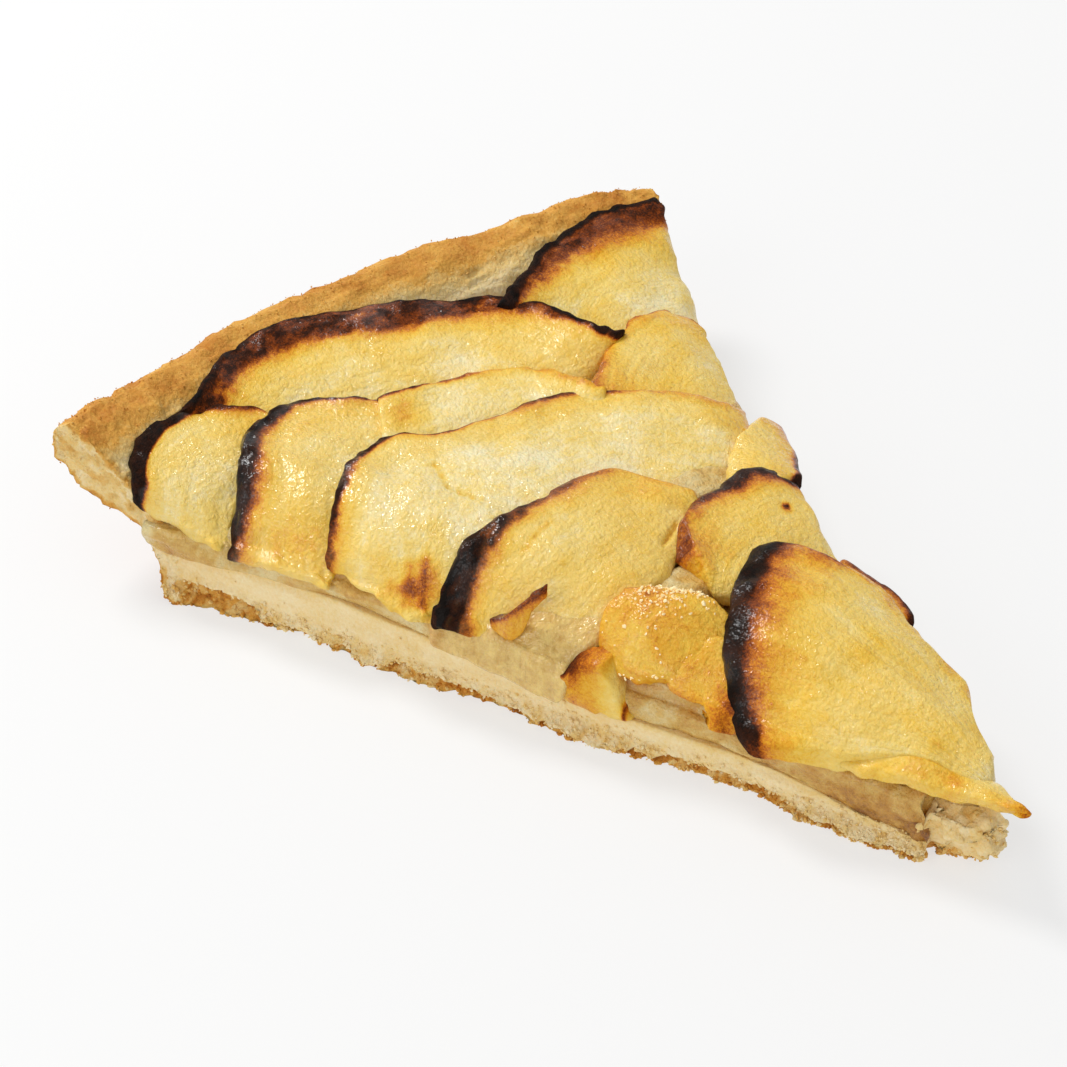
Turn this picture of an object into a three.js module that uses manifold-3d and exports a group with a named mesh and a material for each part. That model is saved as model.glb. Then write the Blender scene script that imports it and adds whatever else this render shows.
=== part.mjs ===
// One wedge of an open apple tart, cut from a round one: a pastry crust with a rolled rim, a soft
// filling, and overlapping slices of baked fruit whose outer edges are scorched.
// Millimetres, +Z up. Places are measured from the wedge's ideal point, with the rim at -X. The
// "near" cut is the straight side facing -Y, the "far" cut faces +Y. The whole group is then moved
// by POINT_PLACE, which puts the origin under the middle of the slice.
import * as THREE from "three";
import { mergeVertices } from "three/addons/utils/BufferGeometryUtils.js";
import Module from "manifold-3d";

const wasm = await Module();
wasm.setup();

// ---- driving dimensions ------------------------------------------------------------------

const WEDGE_DEG = 45; // one eighth of a round tart
const RIM_RADIUS = 140.6; // outer edge of the rolled rim
const BASE_RADIUS = 125; // flat underside
const RIM_HEIGHT = 22.3; // crest of the rim
const WALL_FOOT = 7; // height where the outer wall starts to lean out
const CRUST_START = 13; // the crust is broken off this far from the wedge's point
const GAP = 0.35; // clearance between neighbouring pieces
const CRUMB = 0.45; // depth of the crumbly relief on cut pastry
const CHIP_DEPTH = 0.7; // small chips along the lower edge of a cut
const CHIP_HEIGHT = 3.6; // chips and flakes reach up to here
const FILLING_COVER = [2.8, 6.6]; // depth of the filling under the fruit's top, at a cut and inside
const SMALLEST_EDGE = 0.06; // smaller edges left by a cut are closed up
const SEED = 20717; // for the crumbly relief
const POINT_PLACE = [69.35, 0.4, 0]; // the wedge's ideal point in the part's own frame

const HALF_ANGLE = THREE.MathUtils.degToRad(WEDGE_DEG / 2);
const COS = Math.cos(HALF_ANGLE);
const SIN = Math.sin(HALF_ANGLE);

// ---- small tools -------------------------------------------------------------------------

const mix = (a, b, t) => a + (b - a) * t;
const clamp01 = (t) => Math.min(1, Math.max(0, t));
const smooth = (t) => clamp01(t) * clamp01(t) * (3 - 2 * clamp01(t));
const ramp = (x, from, to) => smooth((x - from) / (to - from));

// A smooth curve y(x) through a few knots [x, y], level beyond its ends.
function through(knots) {
  const last = knots.length - 1;
  const slope = (i) => {
    const [a, b] = [knots[Math.max(i - 1, 0)], knots[Math.min(i + 1, last)]];
    return (b[1] - a[1]) / (b[0] - a[0]);
  };
  return (x) => {
    if (x <= knots[0][0]) return knots[0][1];
    if (x >= knots[last][0]) return knots[last][1];
    const i = knots.findIndex((knot) => knot[0] > x) - 1;
    const width = knots[i + 1][0] - knots[i][0];
    const t = (x - knots[i][0]) / width;
    const rise = knots[i + 1][1] - knots[i][1];
    const [m0, m1] = [slope(i) * width, slope(i + 1) * width];
    return knots[i][1] + t * (m0 + t * (3 * rise - 2 * m0 - m1 + t * (m0 + m1 - 2 * rise)));
  };
}

// Smooth seeded noise in -1..1, one cell per unit.
function cellNoise(ix, iy, iz) {
  let h = Math.imul(ix, 374761393) + Math.imul(iy, 668265263) + Math.imul(iz, 974634777) + SEED;
  h = Math.imul(h ^ (h >>> 13), 1274126177);
  return ((h ^ (h >>> 16)) >>> 0) / 2147483648 - 1;
}

function noise(x, y, z) {
  const cell = [Math.floor(x), Math.floor(y), Math.floor(z)];
  const f = [smooth(x - cell[0]), smooth(y - cell[1]), smooth(z - cell[2])];
  const corner = (i, j, k) => cellNoise(cell[0] + i, cell[1] + j, cell[2] + k);
  const edge = (j, k) => mix(corner(0, j, k), corner(1, j, k), f[0]);
  return mix(mix(edge(0, 0), edge(1, 0), f[1]), mix(edge(0, 1), edge(1, 1), f[1]), f[2]);
}

// How far a place lies inside the near and the far cut of the ideal wedge.
const insideNear = (x, y) => COS * y - SIN * x;
const insideFar = (x, y) => -COS * y - SIN * x;

// A place t millimetres from the wedge's point along the near cut, standing out of it.
const onCut = (t, out, z) => [-t * COS + out * SIN, -t * SIN - out * COS, z];

// ---- the domed top of the fruit ------------------------------------------------------------

const NEAR_SHOULDER = 13; // the top rounds down to the near cut over this width
const FAR_SHOULDER = 14;
const middleTop = through([[0, 14], [10, 16], [25, 19], [40, 20.5], [80, 22], [118, 21], [140, 20.5]]);
const nearTop = through([[0, 13], [60, 13], [80, 14.5], [125, 14.5], [132, 16], [140, 21]]);
const farTop = through([[0, 14], [20, 16], [40, 17], [80, 15.5], [100, 15.5], [120, 17], [140, 21]]);

function topHeight(x, y) {
  const r = Math.hypot(x, y);
  const near = 1 - (1 - clamp01(insideNear(x, y) / NEAR_SHOULDER)) ** 2.2;
  const far = 1 - (1 - clamp01(insideFar(x, y) / FAR_SHOULDER)) ** 2;
  return Math.min(mix(nearTop(r), middleTop(r), near), mix(farTop(r), middleTop(r), far));
}

// ---- closed surfaces -----------------------------------------------------------------------

// Adds a grid of quads to a list of triangle corners. point(i, j) gives its vertices.
function addGrid(corners, rows, columns, point, turned) {
  for (let i = 0; i < rows; i++) {
    for (let j = 0; j < columns; j++) {
      const [a, b] = [point(i, j), point(i + 1, j)];
      const [c, d] = [point(i + 1, j + 1), point(i, j + 1)];
      corners.push(...(turned ? [a, c, b, a, d, c] : [a, b, c, a, c, d]));
    }
  }
}

// Merges the corners and drops the triangles that closed up to a line.
function closedGeometry(corners) {
  const soup = new THREE.BufferGeometry();
  soup.setAttribute("position", new THREE.Float32BufferAttribute(corners.flat(), 3));
  const merged = mergeVertices(soup, 1e-4);
  const kept = [];
  for (let i = 0; i < merged.index.count; i += 3) {
    const [a, b, c] = [0, 1, 2].map((k) => merged.index.getX(i + k));
    if (a !== b && b !== c && c !== a) kept.push(a, b, c);
  }
  merged.setIndex(kept);
  return merged;
}

// A block bent through space: point(i, k, j) for i along, k up and j across it.
function blockGeometry(along, up, across, point) {
  const corners = [];
  addGrid(corners, along, across, (i, j) => point(i, up, j), true);
  addGrid(corners, along, across, (i, j) => point(i, 0, j), false);
  addGrid(corners, along, up, (i, k) => point(i, k, 0), true);
  addGrid(corners, along, up, (i, k) => point(i, k, across), false);
  addGrid(corners, up, across, (k, j) => point(0, k, j), true);
  addGrid(corners, up, across, (k, j) => point(along, k, j), false);
  return closedGeometry(corners);
}

function solidOf(geometry) {
  const { array } = geometry.getAttribute("position");
  const triVerts = new Uint32Array(geometry.index.array);
  return new wasm.Manifold(new wasm.Mesh({ numProp: 3, vertProperties: array, triVerts }));
}

function geometryOf(solid) {
  const mesh = solid.getMesh();
  const geometry = new THREE.BufferGeometry();
  geometry.setAttribute("position", new THREE.BufferAttribute(mesh.vertProperties, mesh.numProp));
  geometry.setIndex(new THREE.BufferAttribute(mesh.triVerts, 1));
  return geometry;
}

// The same surface moved out along its normals, which leaves room round a piece when it cuts another.
function grown(geometry, distance) {
  const wide = geometry.clone();
  wide.computeVertexNormals();
  const [place, normal] = [wide.getAttribute("position"), wide.getAttribute("normal")];
  for (let i = 0; i < place.count; i++) {
    place.setX(i, place.getX(i) + normal.getX(i) * distance);
    place.setY(i, place.getY(i) + normal.getY(i) * distance);
    place.setZ(i, place.getZ(i) + normal.getZ(i) * distance);
  }
  wide.deleteAttribute("normal");
  return wide;
}

// ---- pastry ----------------------------------------------------------------------------------

const BASE_STATIONS = 13;
const ARC_STEPS = 14;
const LAYERS = 3;
const baseTop = through([[13, 3.2], [26, 4.8], [34, 6.4], [60, 6.2], [80, 7.6], [95, 8.8], [118, 8]]);

// The crust's section as pairs of places [radius, height], under and upper side.
function crustSection() {
  const pairs = [];
  for (let i = 0; i <= BASE_STATIONS; i++) {
    const r = mix(CRUST_START, BASE_RADIUS - 5, i / BASE_STATIONS);
    pairs.push([[r, 0], [r, baseTop(r)]]);
  }
  pairs.push([[BASE_RADIUS, 0], [BASE_RADIUS - 3, 9.5]]);
  pairs.push([[BASE_RADIUS + 1.4, WALL_FOOT - 2.4], [BASE_RADIUS - 0.6, 13]]);
  pairs.push([[BASE_RADIUS + 2.2, WALL_FOOT + 3.4], [BASE_RADIUS + 3.6, 16.6]]);
  pairs.push([[RIM_RADIUS - 6.6, RIM_HEIGHT - 10], [RIM_RADIUS - 9.6, RIM_HEIGHT - 3.6]]);
  pairs.push([[RIM_RADIUS - 1.6, RIM_HEIGHT - 7.6], [RIM_RADIUS - 6, RIM_HEIGHT - 1.2]]);
  pairs.push([[RIM_RADIUS, RIM_HEIGHT - 2.9], [RIM_RADIUS - 2.6, RIM_HEIGHT]]);
  return pairs;
}

// The rim is rolled unevenly, the near lower edge is chipped (negative) and flaky, and the far cut
// runs a little inside the ideal wedge.
const rimSwell = through([[0, 0.7], [0.1, -0.3], [0.3, -0.8], [0.45, -0.7], [0.7, -0.9], [0.88, 0.4],
  [1, 0.4]]);
const nearFoot = through([[13, 0.5], [27, 0.5], [34, -1], [45, -0.9], [58, 0.6], [66, 0.3], [72, -0.5],
  [82, 0.8], [91, 0.6], [103, -0.6], [112, 0.5], [122, 1.5]]);
const farInset = through([[13, 0.3], [40, 1.6], [75, 2.2], [100, 1.1], [125, 0.6]]);
const section = crustSection();
const lipStation = section.length - 1;

// A place on the crust: station i from the point to the rim's lip, k from the under to the upper
// side, j from the near to the far cut.
function crustPoint(i, k, j) {
  const [under, upper] = section[i];
  const share = k / LAYERS;
  const a = j / ARC_STEPS;
  const lip = ramp(i, lipStation - 4, lipStation);
  const bulge = i === lipStation ? 3.2 * share * (1 - share) : 0;
  const wave = lip * (0.3 * Math.sin(23 * a) + rimSwell(a));
  const r = mix(under[0], upper[0], share) + bulge + wave;
  const z = mix(under[1], upper[1], share) + (bulge + wave * share) * 0.7 * lip;
  const farAngle = HALF_ANGLE - Math.asin(farInset(r) / r);
  const angle = mix(-HALF_ANGLE, farAngle, a);
  let [x, y] = [-r * Math.cos(angle), r * Math.sin(angle)];
  if (j === 0 || j === ARC_STEPS) {
    const side = j === 0 ? 1 : -1;
    const foot = side > 0 ? nearFoot(r) : 0;
    const chip = Math.max(0, 1 - z / CHIP_HEIGHT) * (CHIP_DEPTH * noise(r / 5, side, 0) - foot);
    const inward = chip + CRUMB * noise(r / 4, z / 2, side);
    x -= SIN * inward;
    y += side * COS * inward;
  }
  if (i === 0) x += 1.5 * noise(y, z, 7) + 0.3 * y;
  return [x, y, z];
}

// The loose end of the crust, a soft broken piece under the fruit's tip.
function crustTipPoint(i, k, j) {
  const [u, w, v] = [1 - i / 5, k / 3, j / 4];
  const x = mix(-12.2, mix(-7.4, -4.2, smooth(1.6 * w)), u) + 0.4 * noise(i, k, j);
  const halfWidth = mix(3.4, 1.9, u) * (0.5 + 0.5 * smooth(1.5 * w));
  const y = mix(-1.5, 0.2, u) + 0.9 * (1 - w) + mix(-halfWidth, halfWidth, v) + 0.3 * noise(j, i, k);
  return [x, y, w === 0 ? 0 : (9.4 - 1.2 * u) * w + 0.3 * noise(k, j, i)];
}

// ---- filling ---------------------------------------------------------------------------------

const FILLING_STATIONS = 15;
// Flesh that wells up between the slices: x, y, half length, half width and rise.
const MOUNDS = [[-68.5, 9, 7, 4.4, 4.2], [-55, -5, 6, 4, 3.2]];

function fillingPoint(i, k, j) {
  const r = mix(CRUST_START + 1.5, BASE_RADIUS - 2.6, i / FILLING_STATIONS);
  const a = j / ARC_STEPS;
  const inset = farInset(r) + 3.6 * ramp(r, 20, 50);
  const angle = mix(-HALF_ANGLE, HALF_ANGLE - Math.asin(inset / r), a);
  let [x, y] = [-r * Math.cos(angle), r * Math.sin(angle)];
  if (j === 0) [x, y] = onCut(r + 4 * ramp(r, 116, 122), 0.3 + 1.4 * ramp(r, 108, 118), 0);
  const floor = baseTop(r) + GAP + (j === 0 ? 0 : 4.2 * ramp(r, BASE_RADIUS - 6, BASE_RADIUS));
  let cover = mix(...FILLING_COVER, ramp(Math.min(insideNear(x, y), insideFar(x, y) - inset), 0, 8));
  for (const [mx, my, long, wide, rise] of MOUNDS) {
    cover -= rise * ramp(((x - mx) / wide) ** 2 + ((y - my) / long) ** 2, 1.5, 0.3);
  }
  return [x, y, mix(floor, Math.max(floor + 1, topHeight(x, y) - cover), k / 2)];
}

// ---- fruit -----------------------------------------------------------------------------------

const LEAN = [1.05, -0.84]; // an edge that stands 1 mm above the domed top also leans over this far
const EDGE_POWER = 7; // how square a slice's edges are
const END_POWER = 12;

// A curve through points [x, y, rise over the domed top], at share t of its length.
function edgeCurve(points, rise, free) {
  const places = points.map(([x, y, d]) => {
    const up = d ?? rise;
    const lean = free ? 0 : Math.max(up, 0);
    return new THREE.Vector3(x + LEAN[0] * lean, y + LEAN[1] * lean, up);
  });
  const curve = new THREE.CatmullRomCurve3(places, false, "catmullrom", 0.5);
  return (t) => curve.getPointAt(t);
}

// The four-sided patch between two long edges and, where given, two curved ends.
function patch(slice) {
  const outer = edgeCurve(slice.outer, slice.lift ?? 0, slice.free);
  const inner = edgeCurve(slice.inner, -slice.dip, slice.free);
  const [start, end] = [slice.start, slice.end].map((middle, side) => {
    if (!middle) return (v) => outer(side).lerp(inner(side), v);
    const ends = [outer(side), inner(side)].map((p) => p.toArray());
    return edgeCurve([ends[0], ...middle, ends[1]], 0, true);
  });
  return (u, v) => {
    const across = outer(u).lerp(inner(u), v);
    const along = start(v).lerp(end(v), u);
    const flat = outer(0).lerp(outer(1), u).lerp(inner(0).lerp(inner(1), u), v);
    return across.add(along).sub(flat);
  };
}

// The top surface of a slice that lies on the dome, and of a piece laid freely in space.
function sliceTop(slice) {
  const place = patch(slice);
  return (u, v) => {
    const p = place(u, v);
    const crown = (slice.crown ?? 0.6) * 4 * v * (1 - v);
    const height = slice.free ? p.z : topHeight(p.x, p.y) + p.z + crown;
    return new THREE.Vector3(p.x, p.y, height);
  };
}

// A pillow-like slice: two faces that meet in rounded edges.
function sliceGeometry(slice) {
  const [rows, columns] = slice.grid ?? [10, 6];
  const top = sliceTop(slice);
  const [us, vs] = [rows, columns].map((n) =>
    Array.from({ length: n + 1 }, (_, i) => 0.5 - 0.5 * Math.cos((Math.PI * i) / n)),
  );
  const across = (u, v) => {
    const [h, u0, v0] = [0.04, Math.min(u, 0.96), Math.min(v, 0.96)];
    const base = top(u0, v0);
    const du = top(u0 + h, v0).sub(base);
    const dv = top(u0, v0 + h).sub(base);
    return du.cross(dv).normalize();
  };
  const outwards = slice.free ? new THREE.Vector3(SIN, -COS, 0) : new THREE.Vector3(0, 0, 1);
  const turned = across(0.5, 0.5).dot(outwards) < 0;
  const normal = (u, v) => across(u, v).multiplyScalar(turned ? -1 : 1);
  const face = (side) => (i, j) => {
    const [u, v] = [us[i], vs[j]];
    const border = i % rows === 0 || j % columns === 0;
    const round = border
      ? 0
      : (1 - Math.abs(2 * v - 1) ** EDGE_POWER) ** 0.4 * (1 - Math.abs(2 * u - 1) ** END_POWER) ** 0.4;
    const depth = mix(slice.thick[0], slice.thick[1], v) * (0.5 - 0.5 * side * round);
    const p = top(u, v).addScaledVector(normal(u, v), -depth);
    return p.toArray();
  };
  const corners = [];
  addGrid(corners, rows, columns, face(1), turned);
  addGrid(corners, rows, columns, face(-1), !turned);
  return closedGeometry(corners);
}

// Every slice from the lowest to the topmost: its outer (scorched) edge and its inner edge.
const slices = [
  {
    name: "slice_back_corner",
    outer: [[-129.5, 54.4], [-131.5, 44], [-129, 33], [-125, 24], [-119, 15]],
    inner: [[-97, 37.4], [-99, 28], [-103, 21], [-110, 15]],
    lift: 2.5, dip: 4, thick: [4, 2.5],
  },
  {
    name: "slice_along_rim",
    outer: [[-101.5, 21.5], [-110, 20.8], [-118, 18], [-124, 12], [-129, 3.5], [-134, -6], [-135.8, -15],
      [-133, -24], [-125, -35]],
    inner: [[-98, 18], [-98, 10], [-101, 2], [-106, -8], [-110, -18], [-114, -27], [-120, -35]],
    lift: 1.8, dip: 4.5, thick: [4, 2.5], grid: [14, 6],
  },
  {
    name: "slice_far_round",
    outer: [[-92, 9], [-96.5, 14.5], [-100.5, 20], [-103.5, 26.5], [-104, 33.5], [-99, 37]],
    inner: [[-84, 11], [-79, 18], [-77.6, 26.6]],
    dip: 3.5, thick: [4, 2.5],
  },
  {
    name: "slice_left_end",
    outer: [[-119, -28], [-123.4, -32.6], [-125.3, -38.2], [-125.3, -42.4, 0.8], [-124.4, -45.2, 2],
      [-122.5, -47, 3], [-119.1, -50.4, -1.9]],
    inner: [[-110, -26], [-109, -33], [-107, -39], [-104, -44.5, -2]],
    dip: 4, thick: [4.4, 2.4],
  },
  {
    name: "slice_left_scorched",
    outer: [[-108, -12], [-113, -17.5], [-117.5, -24], [-116, -31.5], [-111, -37], [-103, -45, -2]],
    inner: [[-97, -12], [-94, -20], [-92, -28], [-90, -34], [-88.6, -38.4, -2]],
    dip: 4, thick: [3.8, 2.4],
  },
  {
    name: "slice_thin_back",
    outer: [[-110.5, -14], [-108.5, -6.5], [-105.5, 3], [-101, 8], [-91, 11.5]],
    inner: [[-97, -23], [-93, -10], [-90, 2], [-86, 8]],
    lift: 0.9, dip: 3.5, thick: [3, 2],
  },
  {
    name: "slice_broad",
    outer: [[-77, 25.5], [-84, 19.5], [-90, 13], [-95.5, 5.5], [-96.5, -4], [-97.5, -12], [-102, -18.5],
      [-100.5, -25], [-97, -31], [-91, -37.5, -1.5]],
    inner: [[-70, 21], [-69, 13], [-69, 2], [-69, -8], [-70, -18], [-72, -26], [-76, -34, -1.5]],
    dip: 3.6, thick: [4.2, 2.4], grid: [14, 7],
  },
  {
    name: "slice_far_edge",
    outer: [[-75.6, 26.8], [-72, 27.4], [-66.6, 25.4], [-60.4, 20.8]],
    inner: [[-70.6, 15.4], [-67, 12], [-62, 9]],
    lift: 0.4, dip: 2.4, thick: [3, 2.4], grid: [7, 5],
  },
  {
    name: "chunk_under_centre",
    outer: [[-74.4, -31.4, -0.5], [-70, -20, -3.5]],
    inner: [[-56, -24, -0.5], [-54, -15, -3.5]],
    dip: 3, thick: [6, 6], crown: 0, grid: [6, 6],
  },
  {
    name: "slice_centre",
    outer: [[-66, 5.5], [-71, 3], [-75, 0.5], [-77.3, -5], [-76.6, -20], [-76.8, -27], [-74, -33, -0.5]],
    inner: [[-61, 3], [-58, -3], [-55.5, -10], [-55.5, -17], [-59, -23.5], [-68, -30, -0.5]],
    dip: 3, thick: [4, 2.4],
  },
  {
    name: "sliver_glazed",
    outer: [[-66.9, -28.4, 15.2], [-64.9, -27.5, 16.4], [-63.5, -26, 18], [-62.7, -24.7, 19.5],
      [-61.3, -23.4, 20.7]],
    inner: [[-66.5, -28.4, 14.3], [-64.4, -27.8, 13.6], [-63, -26.9, 14.1], [-62.5, -25.8, 16.2],
      [-61.9, -24.4, 18], [-61.2, -23.2, 19.4]],
    free: true, thick: [1.6, 1.6], grid: [7, 4],
  },
  {
    name: "slice_near_small",
    outer: [[-60.9, -27.1, 10.9], [-58.2, -26, 10.3], [-56, -25.1, 11.7], [-54.4, -24.3, 13.4],
      [-52.4, -23.2, 14.6], [-51, -22.6, 14.6]],
    inner: [[-59.6, -26.5, 9], [-56.8, -25.2, 7.1], [-53.3, -23.7, 6.4], [-49.6, -22, 6.2],
      [-47.4, -21, 6.9]],
    free: true, thick: [3.6, 3.6], grid: [7, 5],
  },
  {
    name: "chunk_yellow_side",
    outer: [[-46, -10, -2], [-45.6, -14.5, -1.2], [-45.3, -17.6, -0.6], [-43, -17.6, -0.3],
      [-40.1, -16.8, 0]],
    inner: [[-38, -9, -3], [-35.8, -12, -1.6], [-34.4, -14.4, 0]],
    dip: 0, thick: [3.2, 3.2], grid: [6, 6],
  },
  {
    name: "chunk_yellow",
    outer: [[-49.6, -7, -2], [-54.6, -11.5, -1], [-57, -16.6, -0.5], [-55.4, -20, -0.5],
      [-51.5, -21.2, -0.6], [-47.4, -20, -0.8]],
    inner: [[-42, -6.5, -3.5], [-42.4, -12, -2], [-43.4, -17.2, -1]],
    dip: 3, thick: [3.4, 3.2], crown: 1.2, grid: [8, 6],
  },
  {
    name: "slice_far_small",
    outer: [[-60.4, 18.6], [-63.8, 16.4], [-65, 12], [-64.4, 7], [-63.6, 2.8], [-61.6, -0.6],
      [-57.4, -2.8]],
    inner: [[-42, 12], [-43, 6], [-45, 0], [-50, -5]],
    dip: 3.5, thick: [3.8, 2.6],
  },
  {
    name: "slice_under_tip",
    outer: [[-22.6, -9.8, -0.6], [-16, -6.5, 0.7], [-12.1, -5, 0.6], [-8.1, -3.2, 0.7], [-4, -1.7, 0.8],
      [-2.6, -1.2, 1.2], [-1.4, -0.2, 1.6]],
    inner: [[-22, -1, -3], [-14, 0, -2.4], [-6, 1.2, -0.8], [-3.4, 0.8, 0.6], [-2.2, 1, 1.6]],
    dip: 3, thick: [2, 2], grid: [9, 5],
  },
  {
    name: "slice_tucked",
    outer: [[-44, 12], [-40, 13.3], [-36, 14.2], [-31, 12.5]],
    inner: [[-42, 6], [-33, 6]],
    dip: 3, thick: [3, 2.4], grid: [6, 5],
  },
  {
    name: "slice_tip",
    outer: [[-46, 9.5], [-50.5, 7], [-52.3, 4], [-50.5, 0], [-47, -5.5], [-42.5, -11], [-37, -15],
      [-31, -17, -0.5]],
    inner: [[-6.6, 1.4, 0], [-5.8, 0.3, 0], [-6.6, -1, 0]],
    start: [[-36, 12.6, 0], [-28, 10.3, 0], [-20.6, 9.6, 0], [-13.8, 5.2, 0]],
    end: [[-27.5, -14.5, 0], [-21, -9.5, 0], [-13, -4, 0]],
    dip: 0, thick: [4.2, 3.2], grid: [10, 12],
  },
];

// ---- putting it together -----------------------------------------------------------------------

// Keeps the largest body of a cut solid, without the scraps.
function largest(solid) {
  const bodies = solid.decompose();
  return bodies.reduce((a, b) => (a.volume() > b.volume() ? a : b));
}

const tart = new THREE.Group();
tart.position.set(...POINT_PLACE);

function addPiece(name, geometry, material) {
  const mesh = new THREE.Mesh(geometry, new THREE.MeshStandardMaterial(material));
  mesh.name = name;
  tart.add(mesh);
}

const pastryLook = { color: 0xd9a866, roughness: 0.85, metalness: 0 };
const paleLook = { color: 0xead9b0, roughness: 0.8, metalness: 0 };
const fillingLook = { color: 0xbf9a68, roughness: 0.35, metalness: 0 };
const fruitLook = { color: 0xe6c268, roughness: 0.4, metalness: 0 };

const shapes = slices.map((slice) => sliceGeometry(slice));
const cutters = shapes.map((shape) => solidOf(grown(shape, GAP)));

const crustShape = blockGeometry(lipStation, LAYERS, ARC_STEPS, crustPoint);
const tipShape = blockGeometry(5, 3, 4, crustTipPoint);
const fillingShape = blockGeometry(FILLING_STATIONS, 2, ARC_STEPS, fillingPoint);

const cutByAll = (solid, from) =>
  cutters.slice(from).reduce((rest, cutter) => rest.subtract(cutter), solid);
const clean = (solid) => geometryOf(largest(solid).simplify(SMALLEST_EDGE));

const crustCutter = solidOf(grown(crustShape, GAP));
const tipCutter = solidOf(grown(tipShape, GAP));

addPiece("crust", clean(cutByAll(solidOf(crustShape), 0)), pastryLook);
addPiece("crust_tip", clean(cutByAll(solidOf(tipShape).subtract(crustCutter), 0)), paleLook);
const filling = solidOf(fillingShape).subtract(crustCutter).subtract(tipCutter);
addPiece("filling", clean(cutByAll(filling, 0)), fillingLook);
slices.forEach((slice, i) => {
  addPiece(slice.name, clean(cutByAll(solidOf(shapes[i]), i + 1)), fruitLook);
});

export default tart;
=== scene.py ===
"""A wedge of open apple tart on a pale table.

The pastry, the soft filling and every baked slice of fruit are dense meshes over the same forms as
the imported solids. Lengths are millimetres from the wedge's ideal point, with the rim at -X, the
"near" cut facing -Y and the "far" cut facing +Y. add_mesh turns them into metres in the frame.
"""

import bpy
import numpy as np
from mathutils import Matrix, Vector


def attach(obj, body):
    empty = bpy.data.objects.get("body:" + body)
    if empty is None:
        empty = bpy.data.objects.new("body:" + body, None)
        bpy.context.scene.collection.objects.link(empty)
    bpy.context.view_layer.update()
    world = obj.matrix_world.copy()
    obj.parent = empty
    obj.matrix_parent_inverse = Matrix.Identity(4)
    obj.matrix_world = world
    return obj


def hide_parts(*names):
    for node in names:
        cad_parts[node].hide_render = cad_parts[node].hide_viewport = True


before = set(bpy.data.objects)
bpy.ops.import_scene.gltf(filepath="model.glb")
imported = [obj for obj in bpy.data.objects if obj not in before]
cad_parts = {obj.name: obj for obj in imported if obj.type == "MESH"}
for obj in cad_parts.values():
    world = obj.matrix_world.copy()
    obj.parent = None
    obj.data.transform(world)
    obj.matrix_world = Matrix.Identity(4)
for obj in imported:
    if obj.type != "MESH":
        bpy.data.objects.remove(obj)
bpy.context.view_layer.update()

# ---- driving dimensions, mm ----------------------------------------------------------------------

MM = 0.001
POINT_PLACE = np.array([69.35, 0.4, 0.0])  # the wedge's ideal point in the frame
HALF_ANGLE = np.radians(22.5)
COS, SIN = np.cos(HALF_ANGLE), np.sin(HALF_ANGLE)
RIM_RADIUS = 140.6
RIM_HEIGHT = 22.3
BASE_RADIUS = 125.0
WALL_FOOT = 7.0
CRUST_START = 13.0  # from the point to where the crust begins
FILLING_COVER = (2.8, 6.6)  # from the fruit's top down to the filling, at the cuts and inside
LEAN = (1.05, -0.84)  # how far a raised edge moves in plan for each mm of its rise
SEED = 20717

CAMERA_TARGET = np.array([-93.489, 0.295, 0.0])
CAMERA_AZIMUTH = np.radians(51.222)
CAMERA_ELEVATION = np.radians(36.607)
CAMERA_DISTANCE = 371.676
CAMERA_LENS = 87.72

NEAR_OUT = np.array([SIN, -COS, 0.0])  # out of the near cut
FAR_OUT = np.array([SIN, COS, 0.0])

# ---- small tools ---------------------------------------------------------------------------------


def lerp(a, b, t):
    return a + (b - a) * t


def ramp(x, start, end):
    t = np.clip((x - start) / (end - start), 0, 1)
    return t * t * (3 - 2 * t)


def through(knots):
    """A smooth curve y(x) through a few knots, level beyond its ends."""
    xs, ys = np.array(knots, float).T
    before = np.maximum(np.arange(len(xs)) - 1, 0)
    after = np.minimum(np.arange(len(xs)) + 1, len(xs) - 1)
    slopes = (ys[after] - ys[before]) / (xs[after] - xs[before])

    def curve(x):
        x = np.clip(x, xs[0], xs[-1])
        i = np.clip(np.searchsorted(xs, x, "right") - 1, 0, len(xs) - 2)
        width = xs[i + 1] - xs[i]
        t = (x - xs[i]) / width
        rise = ys[i + 1] - ys[i]
        m, n = slopes[i] * width, slopes[i + 1] * width
        return ys[i] + t * (m + t * (3 * rise - 2 * m - n + t * (m + n - 2 * rise)))

    return curve


def hermite(points, t):
    """Places on the smooth curve through points, t counting in points from 0."""
    points = np.asarray(points, float)
    points = np.vstack([2 * points[0] - points[1], points, 2 * points[-1] - points[-2]])
    i = np.clip(np.floor(t).astype(int), 0, len(points) - 4)
    t = (t - i)[..., None]
    a, b, c, d = (points[i + k] for k in range(4))
    m, n = (c - a) / 2, (d - b) / 2
    return b + t * (m + t * (3 * (c - b) - 2 * m - n + t * (m + n - 2 * (c - b))))


MIX_PLACE = (374761393, 668265263, 974634777)  # large odd numbers, without further meaning
MIX_SEED = 2654435
MIX_AGAIN = 1274126177


def scatter(cell, seed):
    """A number in -1..1 that belongs to each whole-numbered place."""
    h = (cell @ np.array(MIX_PLACE) + (seed + SEED) * MIX_SEED) & 0xFFFFFFFF
    h = ((h ^ (h >> 13)) * MIX_AGAIN) & 0xFFFFFFFF
    return ((h ^ (h >> 16)) & 0xFFFF) / 32767.5 - 1


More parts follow.
